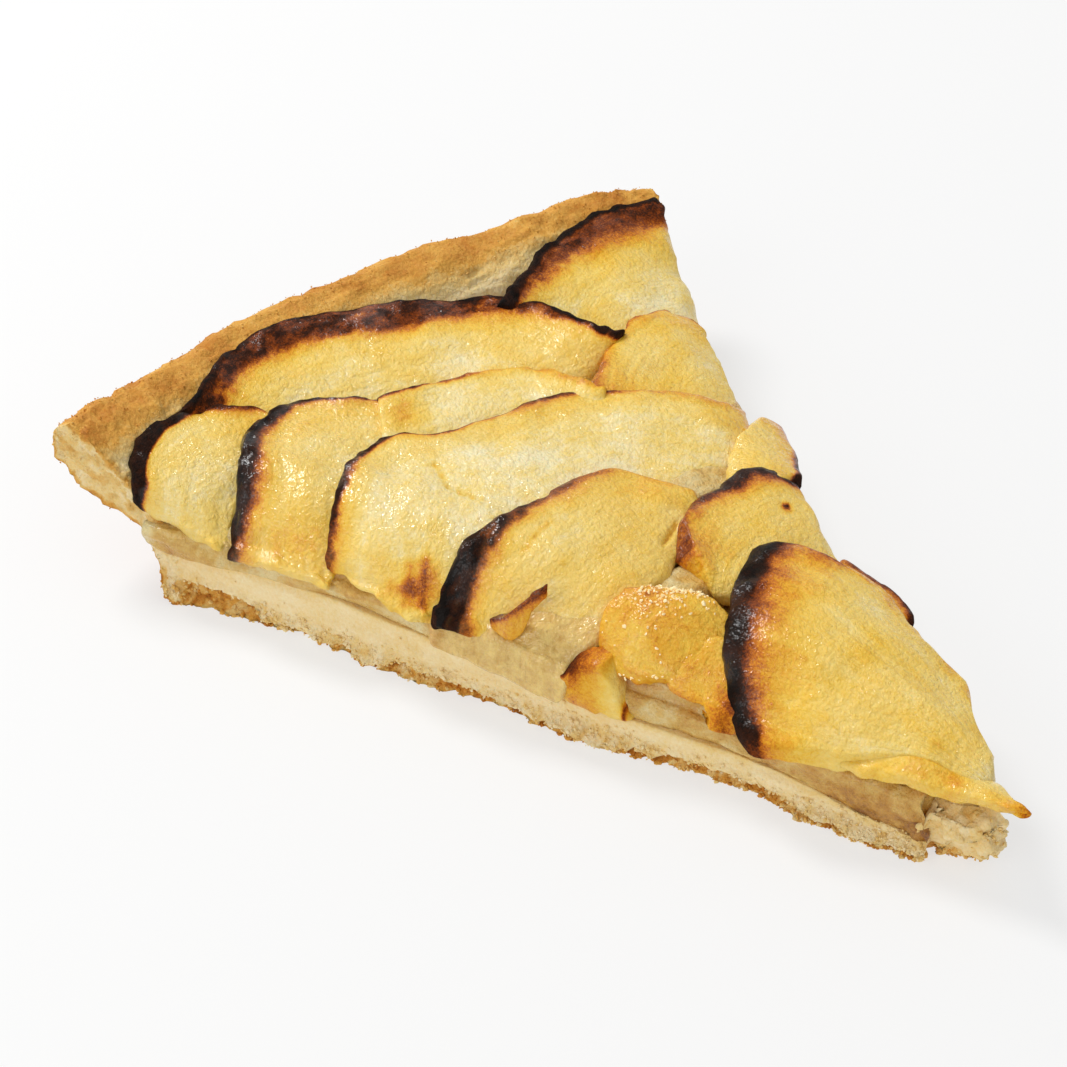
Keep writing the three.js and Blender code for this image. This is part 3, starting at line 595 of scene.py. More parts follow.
# Each slice, from the lowest to the topmost: the same form as its solid, then its look. burn gives
# (share along the outer edge, darkness, width of the dark band, width of its fade), glow the gold
# next to it, and spots (x, y, radius, amount) make it browner or, below 0, paler.
SLICES = {
    "slice_back_corner": dict(
        outer=[(-129.5, 54.4), (-131.5, 44), (-129, 33), (-125, 24), (-119, 15)],
        inner=[(-97, 37.4), (-99, 28), (-103, 21), (-110, 15)],
        lift=2.5, dip=4, thick=(4, 2.5), tone=0.15, wet=0.2, matte=0.6, glow=(0.16, 10), mottle=0.16,
        burn=[(0, 0.62, 3.6, 4), (0.3, 0.6, 3.8, 4.4), (0.6, 0.58, 3.2, 3.8), (0.8, 0.58, 1.8, 2.4),
              (1, 0.5, 0.8, 1.6)],
        rim=(0.95, 1.3, 1.2),
        spots=[(-106, 34, 6, -0.1)],
    ),
    "slice_along_rim": dict(
        outer=[(-101.5, 21.5), (-110, 20.8), (-118, 18), (-124, 12), (-129, 3.5), (-134, -6), (-135.8, -15),
               (-133, -24), (-125, -35)],
        inner=[(-98, 18), (-98, 10), (-101, 2), (-106, -8), (-110, -18), (-114, -27), (-120, -35)],
        lift=1.8, dip=4.5, thick=(4, 2.5), tone=0.17, wet=0.25, matte=0.3, mottle=0.24, glow=(0.1, 8),
        burn=[(0, 0.45, 0.6, 1), (0.12, 0.55, 0.9, 1.4), (0.22, 0.6, 1.6, 2.4), (0.33, 0.62, 3, 2.4),
              (0.45, 0.63, 5, 2), (0.58, 0.64, 5.4, 2), (0.7, 0.68, 4.4, 2), (0.83, 0.66, 3, 2),
              (1, 0.66, 2.2, 2)],
        rim=(0.88, 0.7, 0.7),
        spots=[(-134.5, -4, 2, 0.24), (-131, 4, 2, 0.18), (-108, 2, 5, -0.12), (-113, -12, 5, -0.1)],
        gloss=[(-126, -4, 3, 0.9), (-122, 4, 2, 0.7)],
    ),
    "slice_far_round": dict(
        outer=[(-92, 9), (-96.5, 14.5), (-100.5, 20), (-103.5, 26.5), (-104, 33.5), (-99, 37)],
        inner=[(-84, 11), (-79, 18), (-77.6, 26.6)],
        dip=3.5, thick=(4, 2.5), tone=0.25, wet=0.35, glow=(0.12, 3),
        burn=[(0, 0.2, 0.2, 1.2), (0.6, 0.26, 0.2, 1), (0.85, 0.5, 0.3, 0.6), (1, 0.6, 0.4, 0.6)],
        spots=[(-90, 14, 5, 0.08), (-90, 30, 5, -0.1)],
    ),
    "slice_left_end": dict(
        outer=[(-119, -28), (-123.4, -32.6), (-125.3, -38.2), (-125.3, -42.4, 0.8), (-124.4, -45.2, 2),
               (-122.5, -47, 3), (-119.1, -50.4, -1.9)],
        inner=[(-110, -26), (-109, -33), (-107, -39), (-104, -44.5, -2)],
        dip=4, thick=(4.4, 2.4), tone=0.16, wet=0.45, matte=0.4, ragged=0.16,
        thinned=0.4, jag=0.5, glow=(0.14, 3),
        burn=[(0, 0.5, 0.6, 1.2), (0.2, 0.66, 0.8, 1.4), (0.36, 0.84, 1.6, 0.6), (0.45, 0.9, 2.4, 0.4),
              (1, 0.88, 2.4, 0.4)],
        spots=[(-115, -30, 5, 0.14), (-113, -38, 4, -0.06)],
    ),
    "slice_left_scorched": dict(
        outer=[(-108, -12), (-113, -17.5), (-117.5, -24), (-116, -31.5), (-111, -37), (-103, -45, -2)],
        inner=[(-97, -12), (-94, -20), (-92, -28), (-90, -34), (-88.6, -38.4, -2)],
        dip=4, thick=(3.8, 2.4), tone=0.21, wet=0.75, matte=0.5, wrinkles=0.16,
        ragged=0.16, thinned=0.4, glow=(0.14, 4),
        burn=[(0, 0.7, 0.3, 0.8), (0.2, 0.8, 0.4, 0.9), (0.4, 0.86, 0.9, 1.2), (0.5, 0.94, 1.3, 1.6),
              (0.62, 0.93, 1.7, 1.8), (0.72, 0.78, 1.8, 2.4), (0.78, 0.95, 1.3, 2.2), (0.84, 0.8, 1.5, 2),
              (0.9, 0.9, 1.1, 1.5), (1, 0.6, 0.6, 1.2)],
        spots=[(-100, -19, 4, -0.1), (-98, -38, 4, 0.06)],
        gloss=[(-102, -32, 6, 0.6), (-114, -25, 3, 0.7)],
    ),
    "slice_thin_back": dict(
        outer=[(-110.5, -14), (-108.5, -6.5), (-105.5, 3), (-101, 8), (-91, 11.5)],
        inner=[(-97, -23), (-93, -10), (-90, 2), (-86, 8)],
        lift=0.9, dip=3.5, thick=(3, 2), tone=0.12, wet=0.3, glow=(0.08, 3),
        burn=[(0, 0.66, 0.4, 0.7), (0.3, 0.6, 0.4, 0.7), (0.5, 0.3, 0.3, 1), (1, 0.22, 0.3, 1)],
        spots=[(-109.5, -9.5, 1.2, 0.5), (-104, -14.5, 2.4, 0.22)],
    ),
    "slice_broad": dict(
        outer=[(-77, 25.5), (-84, 19.5), (-90, 13), (-95.5, 5.5), (-96.5, -4), (-97.5, -12), (-102, -18.5),
               (-100.5, -25), (-97, -31), (-91, -37.5, -1.5)],
        inner=[(-70, 21), (-69, 13), (-69, 2), (-69, -8), (-70, -18), (-72, -26), (-76, -34, -1.5)],
        dip=3.6, thick=(4.2, 2.4), tone=0.12, wet=0.45, matte=0.5, ragged=0.16, thinned=0.4, glow=(0.12, 5),
        burn=[(0, 0.2, 0.3, 1.4), (0.2, 0.34, 0.4, 1.8), (0.28, 0.66, 0.8, 1.6), (0.37, 0.68, 0.7, 1.6),
              (0.46, 0.62, 0.4, 1), (0.56, 0.62, 0.4, 0.8), (0.66, 0.74, 0.6, 1), (0.74, 0.86, 0.7, 1.1),
              (0.82, 0.72, 0.8, 1.3), (0.88, 0.86, 0.8, 1.2), (1, 0.5, 0.6, 1.2)],
        spots=[(-93, -19, 5, 0.1), (-94.5, 1, 3.5, 0.16), (-77.8, -30.6, 3, 0.4), (-80.4, -33, 3, 0.2),
               (-77, -2, 8, -0.08), (-76, 22, 4, 0.12), (-86, -12, 6, -0.06)],
        gloss=[(-95, -27, 5, 0.5), (-86, -32, 6, 0.3)],
        cracks=[([(-92, -18), (-87, -19.4), (-82, -17.6)], 0.25, 0.5)],
    ),
    "slice_far_edge": dict(
        outer=[(-75.6, 26.8), (-72, 27.4), (-66.6, 25.4), (-60.4, 20.8)],
        inner=[(-70.6, 15.4), (-67, 12), (-62, 9)],
        lift=0.4, dip=2.4, thick=(3, 2.4), tone=0.22, wet=0.5,
        burn=[(0, 0.2, 0.3, 1.2), (0.5, 0.36, 0.4, 1.2), (0.62, 0.85, 0.7, 0.6), (0.7, 0.4, 0.5, 1.2),
              (0.84, 0.76, 0.8, 0.8), (0.92, 0.5, 0.8, 0.8), (1, 0.76, 0.9, 1)],
    ),
    "chunk_under_centre": dict(
        outer=[(-74.4, -31.4, -0.5), (-70, -20, -3.5)],
        inner=[(-56, -24, -0.5), (-54, -15, -3.5)],
        dip=3, thick=(6, 6), crown=0, tone=0.26, wet=0.8, pulp=0.9, tubes=1.2,
        burn=[(0, 0.12, 0.2, 1), (1, 0.12, 0.2, 1)],
    ),
    "slice_centre": dict(
        outer=[(-66, 5.5), (-71, 3), (-75, 0.5), (-77.3, -5), (-76.6, -20), (-76.8, -27), (-74, -33, -0.5)],
        inner=[(-61, 3), (-58, -3), (-55.5, -10), (-55.5, -17), (-59, -23.5), (-68, -30, -0.5)],
        dip=3, thick=(4, 2.4), tone=0.19, wet=0.4, pulp=0.1, ragged=0.16,
        mottle=0.22, glow=(0.1, 6), matte=0.2,
        burn=[(0, 0.2, 0.3, 1.2), (0.2, 0.24, 0.3, 1.4), (0.36, 0.4, 0.4, 1.8), (0.5, 0.56, 0.5, 2),
              (0.62, 0.66, 1, 1.8), (0.72, 0.8, 1.6, 1.8), (0.82, 0.92, 2.8, 2), (1, 0.95, 4.2, 2.4)],
        spots=[(-70, -14, 5, -0.06), (-66, -2, 5, 0.06), (-62, -14, 5, 0.05), (-73, -31.4, 0.8, -0.3)],
        cracks=[([(-62.6, -0.6), (-60.4, -4.6)], 0.3, 0.6), ([(-71.6, -14), (-70, -20)], 0.3, 0.25)],
    ),
    "sliver_glazed": dict(
        outer=[(-66.9, -28.4, 15.2), (-64.9, -27.5, 16.4), (-63.5, -26, 18), (-62.7, -24.7, 19.5),
               (-61.3, -23.4, 20.7)],
        inner=[(-66.5, -28.4, 14.3), (-64.4, -27.8, 13.6), (-63, -26.9, 14.1), (-62.5, -25.8, 16.2),
               (-61.9, -24.4, 18), (-61.2, -23.2, 19.4)],
        free=True, thick=(1.6, 1.6), tone=0.47, wet=0.25, matte=0, glow=(0, 1),
        burn=[(0, 0.5, 0.1, 0.4), (0.6, 0.3, 0.1, 0.4), (1, 0.4, 0.1, 0.4)],
        gloss=[(-65, -27.6, 0.7, 0.7)],
    ),
    "slice_near_small": dict(
        outer=[(-60.9, -27.1, 10.9), (-58.2, -26, 10.3), (-56, -25.1, 11.7), (-54.4, -24.3, 13.4),
               (-52.4, -23.2, 14.6), (-51, -22.6, 14.6)],
        inner=[(-59.6, -26.5, 9), (-56.8, -25.2, 7.1), (-53.3, -23.7, 6.4), (-49.6, -22, 6.2),
               (-47.4, -21, 6.9)],
        free=True, thick=(3.6, 3.6), tone=0.35, wet=0.15, glow=(0.02, 3),
        burn=[(0, 0.7, 0.2, 0.35), (0.3, 0.76, 0.3, 0.35), (0.5, 0.6, 0.2, 0.35), (0.66, 0.2, 0.2, 1),
              (1, 0.12, 0.2, 1)],
        spots=[(-54.8, -24.6, 1.2, 0.16), (-52.6, -23.4, 1.8, 0.1), (-49.6, -22, 1.8, -0.14),
               (-48.2, -21.5, 0.3, 0.5)],
    ),
    "chunk_yellow_side": dict(
        outer=[(-46, -10, -2), (-45.6, -14.5, -1.2), (-45.3, -17.6, -0.6), (-43, -17.6, -0.3),
               (-40.1, -16.8)],
        inner=[(-38, -9, -3), (-35.8, -12, -1.6), (-34.4, -14.4)],
        dip=0, thick=(3.2, 3.2), tone=0.32, wet=0.4, wrinkles=0.1, glow=(0.02, 3),
        burn=[(0, 0.12, 0.2, 1), (1, 0.12, 0.2, 1)],
        spots=[(-36.4, -14, 2, 0.3)],
    ),
    "chunk_yellow": dict(
        outer=[(-49.6, -7, -2), (-54.6, -11.5, -1), (-57, -16.6, -0.5), (-55.4, -20, -0.5),
               (-51.5, -21.2, -0.6), (-47.4, -20, -0.8)],
        inner=[(-42, -6.5, -3.5), (-42.4, -12, -2), (-43.4, -17.2, -1)],
        dip=3, thick=(3.4, 3.2), crown=1.2, tone=0.35, wet=0.38, pulp=0, wrinkles=0.1, glow=(0.04, 3),
        burn=[(0, 0.12, 0.2, 1), (1, 0.12, 0.2, 1)],
    ),
    "slice_far_small": dict(
        outer=[(-60.4, 18.6), (-63.8, 16.4), (-65, 12), (-64.4, 7), (-63.6, 2.8), (-61.6, -0.6),
               (-57.4, -2.8)],
        inner=[(-42, 12), (-43, 6), (-45, 0), (-50, -5)],
        dip=3.5, thick=(3.8, 2.6), tone=0.24, wet=0.45, glow=(0.14, 5), mottle=0.2,
        burn=[(0, 0.84, 1.2, 1.2), (0.2, 0.78, 1.4, 1.4), (0.5, 0.7, 1.2, 1.6), (0.72, 0.4, 0.6, 1.2),
              (1, 0.34, 0.4, 1)],
        spots=[(-56, 13, 0.6, 0.8), (-56, -1, 4, 0.16)],
    ),
    "slice_under_tip": dict(
        outer=[(-22.6, -9.8, -0.6), (-16, -6.5, 0.7), (-12.1, -5, 0.6), (-8.1, -3.2, 0.7), (-4, -1.7, 0.8),
               (-2.6, -1.2, 1.2), (-1.4, -0.2, 1.6)],
        inner=[(-22, -1, -3), (-14, 0, -2.4), (-6, 1.2, -0.8), (-3.4, 0.8, 0.6), (-2.2, 1, 1.6)],
        knob=(-1.8, 0.2, 13.7, 1.1),
        dip=3, thick=(2, 2), tone=0.22, wet=0.4, glow=(0.02, 2),
        burn=[(0, 0.04, 0.2, 1), (0.85, 0.06, 0.3, 1), (0.94, 0.24, 0.8, 1.4), (1, 0.42, 1, 1.4)],
        spots=[(-14, -5.4, 2.5, 0.08), (-9.4, -3, 1.6, 0.16), (-2.6, -1, 1.8, 0.08)],
    ),
    "slice_tucked": dict(
        outer=[(-44, 12), (-40, 13.3), (-36, 14.2), (-31, 12.5)],
        inner=[(-42, 6), (-33, 6)],
        dip=3, thick=(3, 2.4), tone=0.24, wet=0.4,
        burn=[(0, 0.34, 0.2, 1), (0.6, 0.66, 0.6, 0.8), (1, 0.72, 0.7, 0.8)],
    ),
    "slice_tip": dict(
        outer=[(-46, 9.5), (-50.5, 7), (-52.3, 4), (-50.5, 0), (-47, -5.5), (-42.5, -11), (-37, -15),
               (-31, -17, -0.5)],
        inner=[(-6.6, 1.4, 0), (-5.8, 0.3, 0), (-6.6, -1, 0)],
        start=[(-36, 12.6, 0), (-28, 10.3, 0), (-20.6, 9.6, 0), (-13.8, 5.2, 0)],
        end=[(-27.5, -14.5, 0), (-21, -9.5, 0), (-13, -4, 0)],
        dip=0, thick=(4.2, 3.2), tone=0.18, wet=0.34, matte=0.15, fan=True, glow=(0.28, 11),
        burn=[(0, 0.4, 0.4, 1.4), (0.14, 0.6, 0.8, 1.8), (0.21, 0.94, 1.2, 1.8), (0.32, 0.95, 1.5, 2),
              (0.42, 0.93, 1.5, 2.1), (0.48, 0.72, 1.6, 2.4), (0.57, 0.7, 1.6, 2.4), (0.61, 0.92, 1.8, 1.8),
              (0.67, 0.92, 1.8, 1.8), (0.7, 0.74, 1.8, 2), (0.75, 0.95, 1.7, 1.6), (0.92, 0.94, 1.7, 1.6),
              (0.97, 0.7, 1.4, 1.4), (1, 0.5, 1, 1.4)],
        spots=[(-38, 12.6, 2, 0.2), (-33, 12.4, 2, 0.24), (-28, 11.2, 1.8, 0.2), (-44, 10, 2.5, 0.2),
               (-22, 9.6, 2, 0.2), (-17, 7.8, 1.8, 0.2), (-12, 4.6, 1.6, 0.16), (-14, -2, 1, 0.1)],
        gloss=[(-40.5, -13, 1.4, 0.8)],
    ),
}

TOPS = {name: make_slice(name, shape, number) for number, (name, shape) in enumerate(SLICES.items())}

# ---- pastry --------------------------------------------------------------------------------------

BASE_STATIONS = 13
UNDER, UPPER = [], []
for step in range(BASE_STATIONS + 1):
    radius = lerp(CRUST_START, BASE_RADIUS - 5, step / BASE_STATIONS)
    UNDER.append((radius, 0))
    UPPER.append((radius, float(base_top(radius))))
UNDER += [(BASE_RADIUS, 0), (BASE_RADIUS + 1.4, WALL_FOOT - 2.4), (BASE_RADIUS + 2.2, WALL_FOOT + 3.4),
          (RIM_RADIUS - 6.6, RIM_HEIGHT - 10), (RIM_RADIUS - 1.6, RIM_HEIGHT - 7.6),
          (RIM_RADIUS, RIM_HEIGHT - 2.9)]
UPPER += [(BASE_RADIUS - 3, 9.5), (BASE_RADIUS - 0.6, 13), (BASE_RADIUS + 3.6, 16.6),
          (RIM_RADIUS - 9.6, RIM_HEIGHT - 3.6), (RIM_RADIUS - 6, RIM_HEIGHT - 1.2),
          (RIM_RADIUS - 2.6, RIM_HEIGHT)]
LIP = len(UNDER) - 1

# How high the brown, broken underside reaches on the near cut, by distance from the point.
brown_edge = through([(13, 0.9), (30, 1), (34, 2.4), (46, 2.3), (50, 0.9), (60, 0.7), (67, 0.7),
                      (73, 0.9), (77, 2), (88, 1.9), (91, 0.6), (96, 1), (102, 0.3), (105, 1),
                      (108.5, 0.3), (111, 3), (120, 3.4), (125, 3)])


def crust_form(s, share, a):
    """A smooth place on the crust: station s, share from under to upper side, a from near to far."""
    under, upper = hermite(UNDER, s), hermite(UPPER, s)
    lip = ramp(s, LIP - 4, LIP)
    bulge = 3.2 * share * (1 - share) * ramp(s, LIP - 1, LIP)
    wave = lip * (0.3 * np.sin(23 * a) + rim_swell(a))
    r = lerp(under[..., 0], upper[..., 0], share) + bulge + wave
    z = lerp(under[..., 1], upper[..., 1], share) + (bulge + wave * share) * 0.7 * lip
    far = HALF_ANGLE - np.arcsin(far_inset(r) / r)
    angle = lerp(-HALF_ANGLE, far, a)
    return np.stack([-r * np.cos(angle), r * np.sin(angle), np.maximum(z, 0)], -1), r


def surface_normals(points, quads):
    """The outward direction at each point of a closed mesh."""
    a, b, c, d = (points[quads[:, k]] for k in range(4))
    facing = np.cross(c - a, d - b)
    normals = np.zeros_like(points)
    for k in range(4):
        np.add.at(normals, quads[:, k], facing)
    normals /= np.linalg.norm(normals, axis=1, keepdims=True) + 1e-12
    return normals if signed_volume(points, quads) > 0 else -normals


def make_crust():
    """The base, wall and rolled rim, crumbly at the cuts and browned outside, and their crumbs."""
    base_rows, rim_rows, levels, turns = 230, 60, 22, 130
    base_steps = np.linspace(0, BASE_STATIONS, base_rows + 1)
    rim_steps = np.linspace(BASE_STATIONS, LIP, rim_rows + 1)[1:]
    i, k, j, quads = box_grid(base_rows + rim_rows, levels, turns)
    s, share, a = np.concatenate([base_steps, rim_steps])[i], k / levels, spaced(turns, 0.6)[j]
    p, r = crust_form(s, share, a)
    under, upper = hermite(UNDER, s), hermite(UPPER, s)
    thick = np.linalg.norm(upper - under, axis=-1)
    x, y, z = p.T
    near, far = inside_near(x, y), inside_far(x, y) - far_inset(r)
    cut = np.exp(-((np.minimum(near, far) / 0.7) ** 2))
    wall = ramp(s, BASE_STATIONS, BASE_STATIONS + 1)
    low = ramp(z, 5, 1)
    loose = np.maximum(low, 0.8 * wall)

    lump, lump_number = cells(p, 1.3, 11)
    height = brown_edge(r) + 0.6 * noise(p, (2.4, 2.4, 9), 21) + 0.25 * noise(p, (0.8, 0.8, 9), 22)
    brown = (1 - ramp(z, height - 0.3, height + 0.3)) * (1 - wall)
    foot = near_foot(r) * np.maximum(0, 1 - z / 3.6)
    clod, clod_number = cells(p, 2.6, 12)
    grain = lerp(0.1, 0.4, loose) * layers(p, 2, 3, 3, 0.6) + lerp(0.06, 0.7, loose) * (0.45 - lump)
    grain += 1.1 * low * (0.4 - clod)
    ledges = 0.3 * noise(p, (14, 14, 1.4), 23) * (1 - loose)
    overhang = 0.5 * np.exp(-(((z - height - 0.5) / 0.7) ** 2)) * (1 - wall)
    out = foot + grain + ledges + overhang - 1.2 * brown * ramp(z, 0.1, 0.6)
    p = p + NEAR_OUT * (out * np.exp(-((near / 1.5) ** 2)))[:, None]
    p += FAR_OUT * (grain * np.exp(-((far / 1.5) ** 2)))[:, None]
    rough = ramp(s, BASE_STATIONS - 1, BASE_STATIONS + 2)
    p += rough[:, None] * (push(p, 6, 24, 0.5) + push(p, 2.2, 27, 0.34) + push(p, 0.9, 30, 0.2))
    corner = np.exp(-((near / 5) ** 2)) * ramp(r, 119, 126) * ramp(z, 5, 0)
    p[:, 0] += 3 * corner
    p[i == 0, 0] += 0.8 * noise(p[i == 0], 1.6, 33) + 0.4
    p[:, 2] = np.maximum(p[:, 2], 0)

    skin = ramp(np.minimum(share, 1 - share) * thick, 1.2, 0.2) * wall
    soggy = ramp(base_top(r) - z, 1.2, 0) * (1 - wall)
    inner = 0.1 + 0.1 * soggy + 0.05 * noise(p, 2, 34) + wall * (0.1 + 0.12 * lump_number)
    inner += low * (0.03 + 0.12 * lump_number + 0.06 * clod_number)
    face = np.maximum(inner + 0.3 * skin, brown * (0.42 + 0.18 * lump_number + 0.14 * clod_number))
    crest = ramp(s, LIP - 2.4, LIP - 0.6)
    soaked = ramp(s, LIP - 2.6, LIP - 3.6)
    outside = 0.13 + 0.38 * crest - 0.02 * soaked + 0.1 * noise(p, 5, 35) + 0.05 * lump_number
    outside = np.where(share < 0.5, 0.6 + 0.1 * noise(p, 4, 36), outside)
    paint = {"bake": lerp(outside, face, cut), "loose": lerp(0.35, 0.15 + 0.85 * loose, cut)}
    piece = add_mesh("crust_pastry", p, quads, PASTRY, paint)
    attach(piece, "root")
    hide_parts("crust")

    on_face = np.exp(-((near / 0.3) ** 2)) * (1 - brown)
    own = paint["bake"]
    scatter_crumbs("face_crumbs", p, on_face * (0.01 + low), own, 1300, (0.2, 0.6), 0.06)
    edge = np.exp(-((near / 0.6) ** 2)) * brown
    scatter_crumbs("foot_crumbs", p, edge, own - 0.04, 1100, (0.24, 0.8), 0.16)
    sandy = wall * (crest + 0.35) * (z > 6)
    scatter_crumbs("rim_crumbs", p, sandy, own - 0.02, 2600, (0.14, 0.3), 0.06)


def scatter_crumbs(name, places, weight, bake, count, sizes, spread, material=None):
    """Many small uneven crumbs, sunk a little into the surface, as one piece."""
    draw = np.random.default_rng(SEED + count)
    chosen = draw.choice(len(places), count, p=weight / weight.sum())
    golden = (1 + 5**0.5) / 2
    ball = [(0, s, t * golden) for s in (-1, 1) for t in (-1, 1)]
    ball = np.array([np.roll(c, turn) for turn in range(3) for c in ball]) / np.hypot(1, golden)
    near_by = np.linalg.norm(ball[:, None] - ball[None], axis=-1) < 1.1
    corners = len(ball)
    faces = [(a, b, c) for a in range(corners) for b in range(a + 1, corners)
             for c in range(b + 1, corners) if near_by[a, b] and near_by[b, c] and near_by[a, c]]
    faces = np.array([f if np.linalg.det(ball[list(f)]) > 0 else f[::-1] for f in faces])
    size = draw.uniform(*sizes, (count, 1, 1)) / 2 * draw.uniform(0.5, 1.5, (count, 1, 3))
    bumpy = ball[None] * draw.uniform(0.6, 1.3, (count, corners, 1)) * size
    spin = np.linalg.qr(draw.normal(size=(count, 3, 3)))[0]
    spin *= np.sign(np.linalg.det(spin))[:, None, None]
    centres = places[chosen] + draw.normal(size=(count, 3)) * 0.12
    points = np.einsum("nij,nkj->nki", spin, bumpy) + centres[:, None]
    points[..., 2] = np.maximum(points[..., 2], 0.01)
    faces = faces[None] + corners * np.arange(count)[:, None, None]
    tones = np.repeat(bake[chosen] + spread * draw.uniform(-1, 1, count), corners)
    paint = {"bake": tones, "loose": 0.3}
    piece = add_mesh(name, points.reshape(-1, 3), faces.reshape(-1, 3), material or PASTRY, paint, False)
    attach(piece, "root")


def make_crust_tip():
    """The loose end of the crust under the fruit's tip."""
    rows, levels, columns = 30, 30, 26
    i, k, j, quads = box_grid(rows, levels, columns)
    u, w, v = i / rows, k / levels, j / columns
    half = lerp(3.4, 1.9, u) * (0.5 + 0.5 * ramp(1.5 * w, 0, 1))
    x = lerp(-12.2, lerp(-7.4, -4.2, ramp(1.6 * w, 0, 1)), u)
    y = lerp(-1.5, 0.2, u) + 0.9 * (1 - w) + lerp(-half, half, v)
    p = np.stack([x, y, (9.4 - 1.2 * u) * w], -1)
    centre = np.array([-8.4, -0.8, 4.6])
    corner = np.prod([np.abs(2 * t - 1) ** 6 for t in (u, w, v)], axis=0)
    p += (centre - p) * 0.5 * corner[:, None]
    p += push(p, 3.4, 80, 0.9) + push(p, 1.5, 83, 0.5) + push(p, 0.7, 86, 0.25)
    lump, number = cells(p, 2.1, 89)
    p += surface_normals(p, quads) * (1.4 * (0.4 - lump))[:, None]
    p[:, 2] = np.maximum(p[:, 2], 0)
    bake = 0.15 + 0.07 * number + 0.06 * noise(p, 1.6, 88) + 0.2 * ramp(p[:, 2], 2.6, 0.4)
    piece = add_mesh("crust_tip_pastry", p, quads, PASTRY, {"bake": bake, "loose": 0.4})
    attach(piece, "root")
    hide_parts("crust_tip")
    foot = np.exp(-((p[:, 2] / 2) ** 2))
    scatter_crumbs("tip_crumbs", p, 0.1 + foot, bake + 0.06, 420, (0.2, 0.7), 0.1)


# ---- filling -------------------------------------------------------------------------------------

# Soft flesh that wells up between the slices: x, y, half length, half width and rise.
MOUNDS = [(-68.5, 9, 7, 4.4, 4.2), (-55, -5, 6, 4, 3.2)]


def make_filling():
    """The soft layer between crust and slices, swelling out a little at the near cut, with painted shade
    along its floor.
    """
    rows, levels, turns = 250, 20, 120
    i, k, j, quads = box_grid(rows, levels, turns)
    radii = np.linspace(CRUST_START - 0.6, BASE_RADIUS - 2.6, rows + 1)
    r, share, a = radii[i], k / levels, spaced(turns, 0.6)[j]
    inset = far_inset(r) + 3.6 * ramp(r, 20, 50)
    angle = lerp(-HALF_ANGLE, HALF_ANGLE - np.arcsin(inset / r), a)
    x, y = -r * np.cos(angle), r * np.sin(angle)
    front = np.exp(-((inside_near(x, y) / 2.2) ** 2))
    swell = on_cut(r + 4 * ramp(r, 116, 122), 0.3 + 1.4 * ramp(r, 108, 118)) - on_cut(r, 0.0)
    x, y = x + swell[:, 0] * front, y + swell[:, 1] * front
    floor = base_top(r) - 0.3 + 4.2 * ramp(r, BASE_RADIUS - 6, BASE_RADIUS) * (1 - front)
    cover = lerp(*FILLING_COVER, ramp(np.minimum(inside_near(x, y), inside_far(x, y) - inset), 0, 8))
    for mx, my, long, wide, rise in MOUNDS:
        cover -= rise * ramp(((x - mx) / wide) ** 2 + ((y - my) / long) ** 2, 1.5, 0.3)
    roof = np.maximum(floor + 1, top_height(x, y) - cover)
    p = np.stack([x, y, lerp(floor, roof, share)], -1)
    lump, number = cells(p * (0.5, 0.5, 1), 2.6, 60)
    out = 0.7 * noise(p, (6, 6, 2.2), 61) + 0.25 * noise(p, (2, 2, 1.1), 62) + 0.5 * (0.4 - lump)
    out -= 0.8 * np.abs(2 * share - 1) ** 4
    p += NEAR_OUT * (out * front)[:, None]
    p[:, 2] += (0.5 * noise(p, 4, 63) + 0.2 * noise(p, 1.4, 64)) * ramp(share, 0.3, 1)
    p += ramp(r, 17, 13)[:, None] * push(p, 2.2, 67, 1.2)
    bake = 0.28 + 0.12 * number + 0.2 * noise(p, 4.5, 65) + 0.1 * noise(p, 1.5, 66)
    # The lower half darkens toward the crust: painted shade under the slices, added to the bake number.
    bake += 0.1 * ramp(share, 0.5, 0) + 0.14 * ramp(r, 17, 14) + 0.12 * ramp(r, 50, 25)
    piece = add_mesh("filling_pulp", p, quads, PULP, {"bake": bake})
    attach(piece, "root")
    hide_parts("filling")


make_crust()
make_crust_tip()
make_filling()

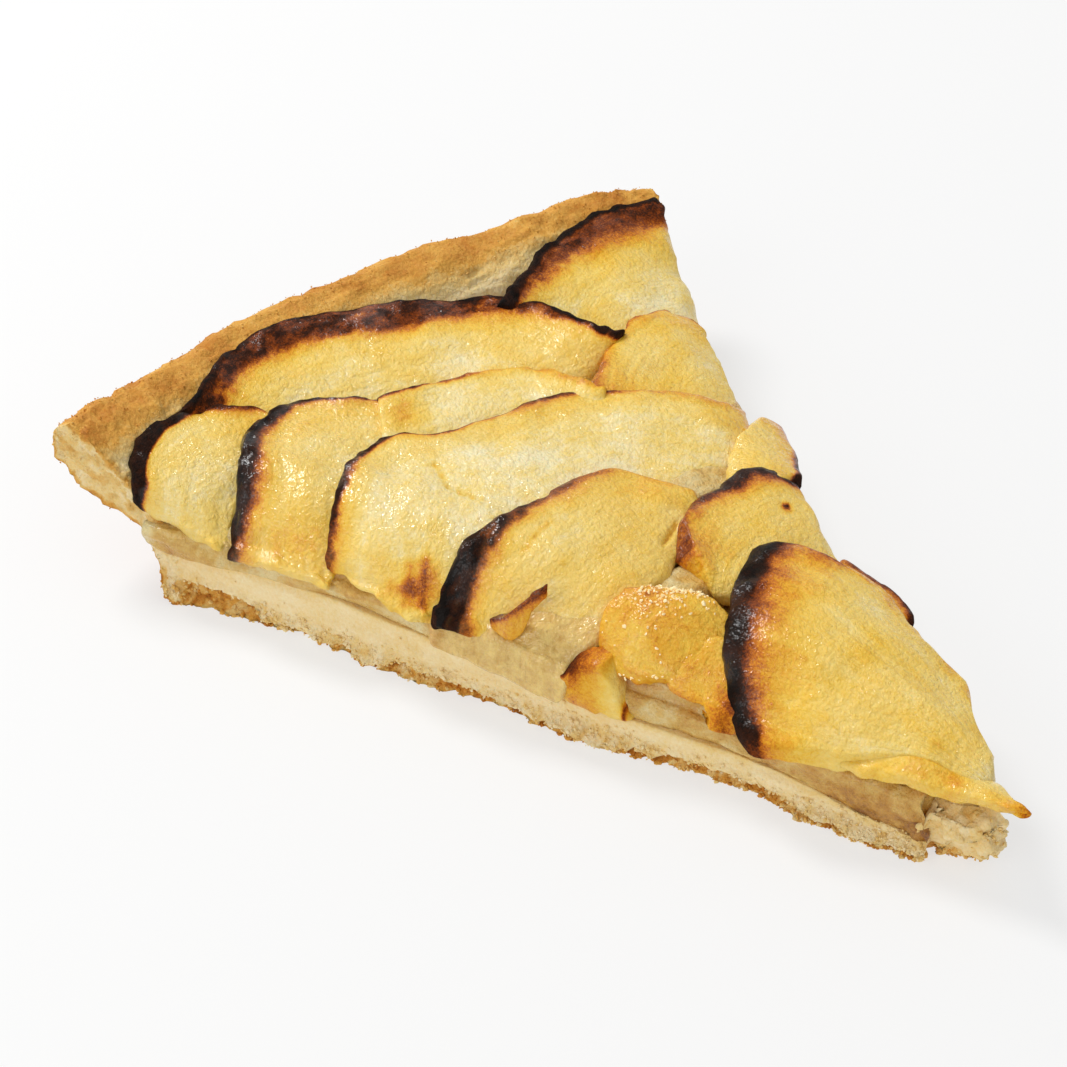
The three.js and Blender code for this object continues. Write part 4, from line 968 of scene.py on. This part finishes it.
yellow = TOPS["chunk_yellow"]
crowded = np.exp(-(((yellow[:, 0] + 52) / 2.6) ** 2) - ((yellow[:, 1] + 11) / 3.6) ** 2) + 0.02
scatter_crumbs("sugar_grains", yellow, crowded, np.zeros(len(yellow)), 330, (0.2, 0.5), 0, SUGAR)

# ---- table, light and camera ---------------------------------------------------------------------


def make_table():
    bpy.ops.mesh.primitive_plane_add(size=8, location=(0, 0, 0))
    table = bpy.context.object
    table.name = "table"
    look = Look("pale_table", Roughness=0.7, Emission_Strength=0.63)
    look.shader.inputs["Emission Color"].default_value = (1.0, 1.0, 1.0, 1.0)
    look.set(Base_Color=look.colours(look.noise(400, 1), [(0.0, (142, 142, 142)), (1.0, (144, 144, 143))]))
    table.data.materials.append(look.material)


def soft_light(name, place, size, power, target=(0, 0, 0.01)):
    light = bpy.data.lights.new(name, "AREA")
    light.shape = "DISK"
    light.size = size
    light.energy = power
    holder = bpy.data.objects.new(name, light)
    holder.location = place
    holder.rotation_euler = (Vector(target) - Vector(place)).to_track_quat("-Z", "Y").to_euler()
    bpy.context.scene.collection.objects.link(holder)


def make_studio():
    world = bpy.data.worlds.new("studio")
    world.use_nodes = True
    background = world.node_tree.nodes["Background"]
    background.inputs["Color"].default_value = (1.0, 1.0, 1.0, 1.0)
    background.inputs["Strength"].default_value = 0.54
    bpy.context.scene.world = world
    soft_light("key", place=(-0.7, -0.1, 0.8), size=0.34, power=6.6)
    soft_light("front", place=(0.15, -0.85, 0.5), size=0.6, power=2.0)


def make_camera():
    data = bpy.data.cameras.new("camera")
    data.lens = CAMERA_LENS
    data.sensor_width = 36
    back = Vector((np.sin(CAMERA_AZIMUTH) * np.cos(CAMERA_ELEVATION),
                   -np.cos(CAMERA_AZIMUTH) * np.cos(CAMERA_ELEVATION), np.sin(CAMERA_ELEVATION)))
    camera = bpy.data.objects.new("camera", data)
    camera.location = Vector((CAMERA_TARGET + POINT_PLACE) * MM) + back * CAMERA_DISTANCE * MM
    camera.rotation_euler = (-back).to_track_quat("-Z", "Y").to_euler()
    bpy.context.scene.collection.objects.link(camera)
    bpy.context.scene.camera = camera


make_table()
make_studio()
make_camera()
bpy.context.scene.view_settings.view_transform = "Standard"

bpy.context.view_layer.update()
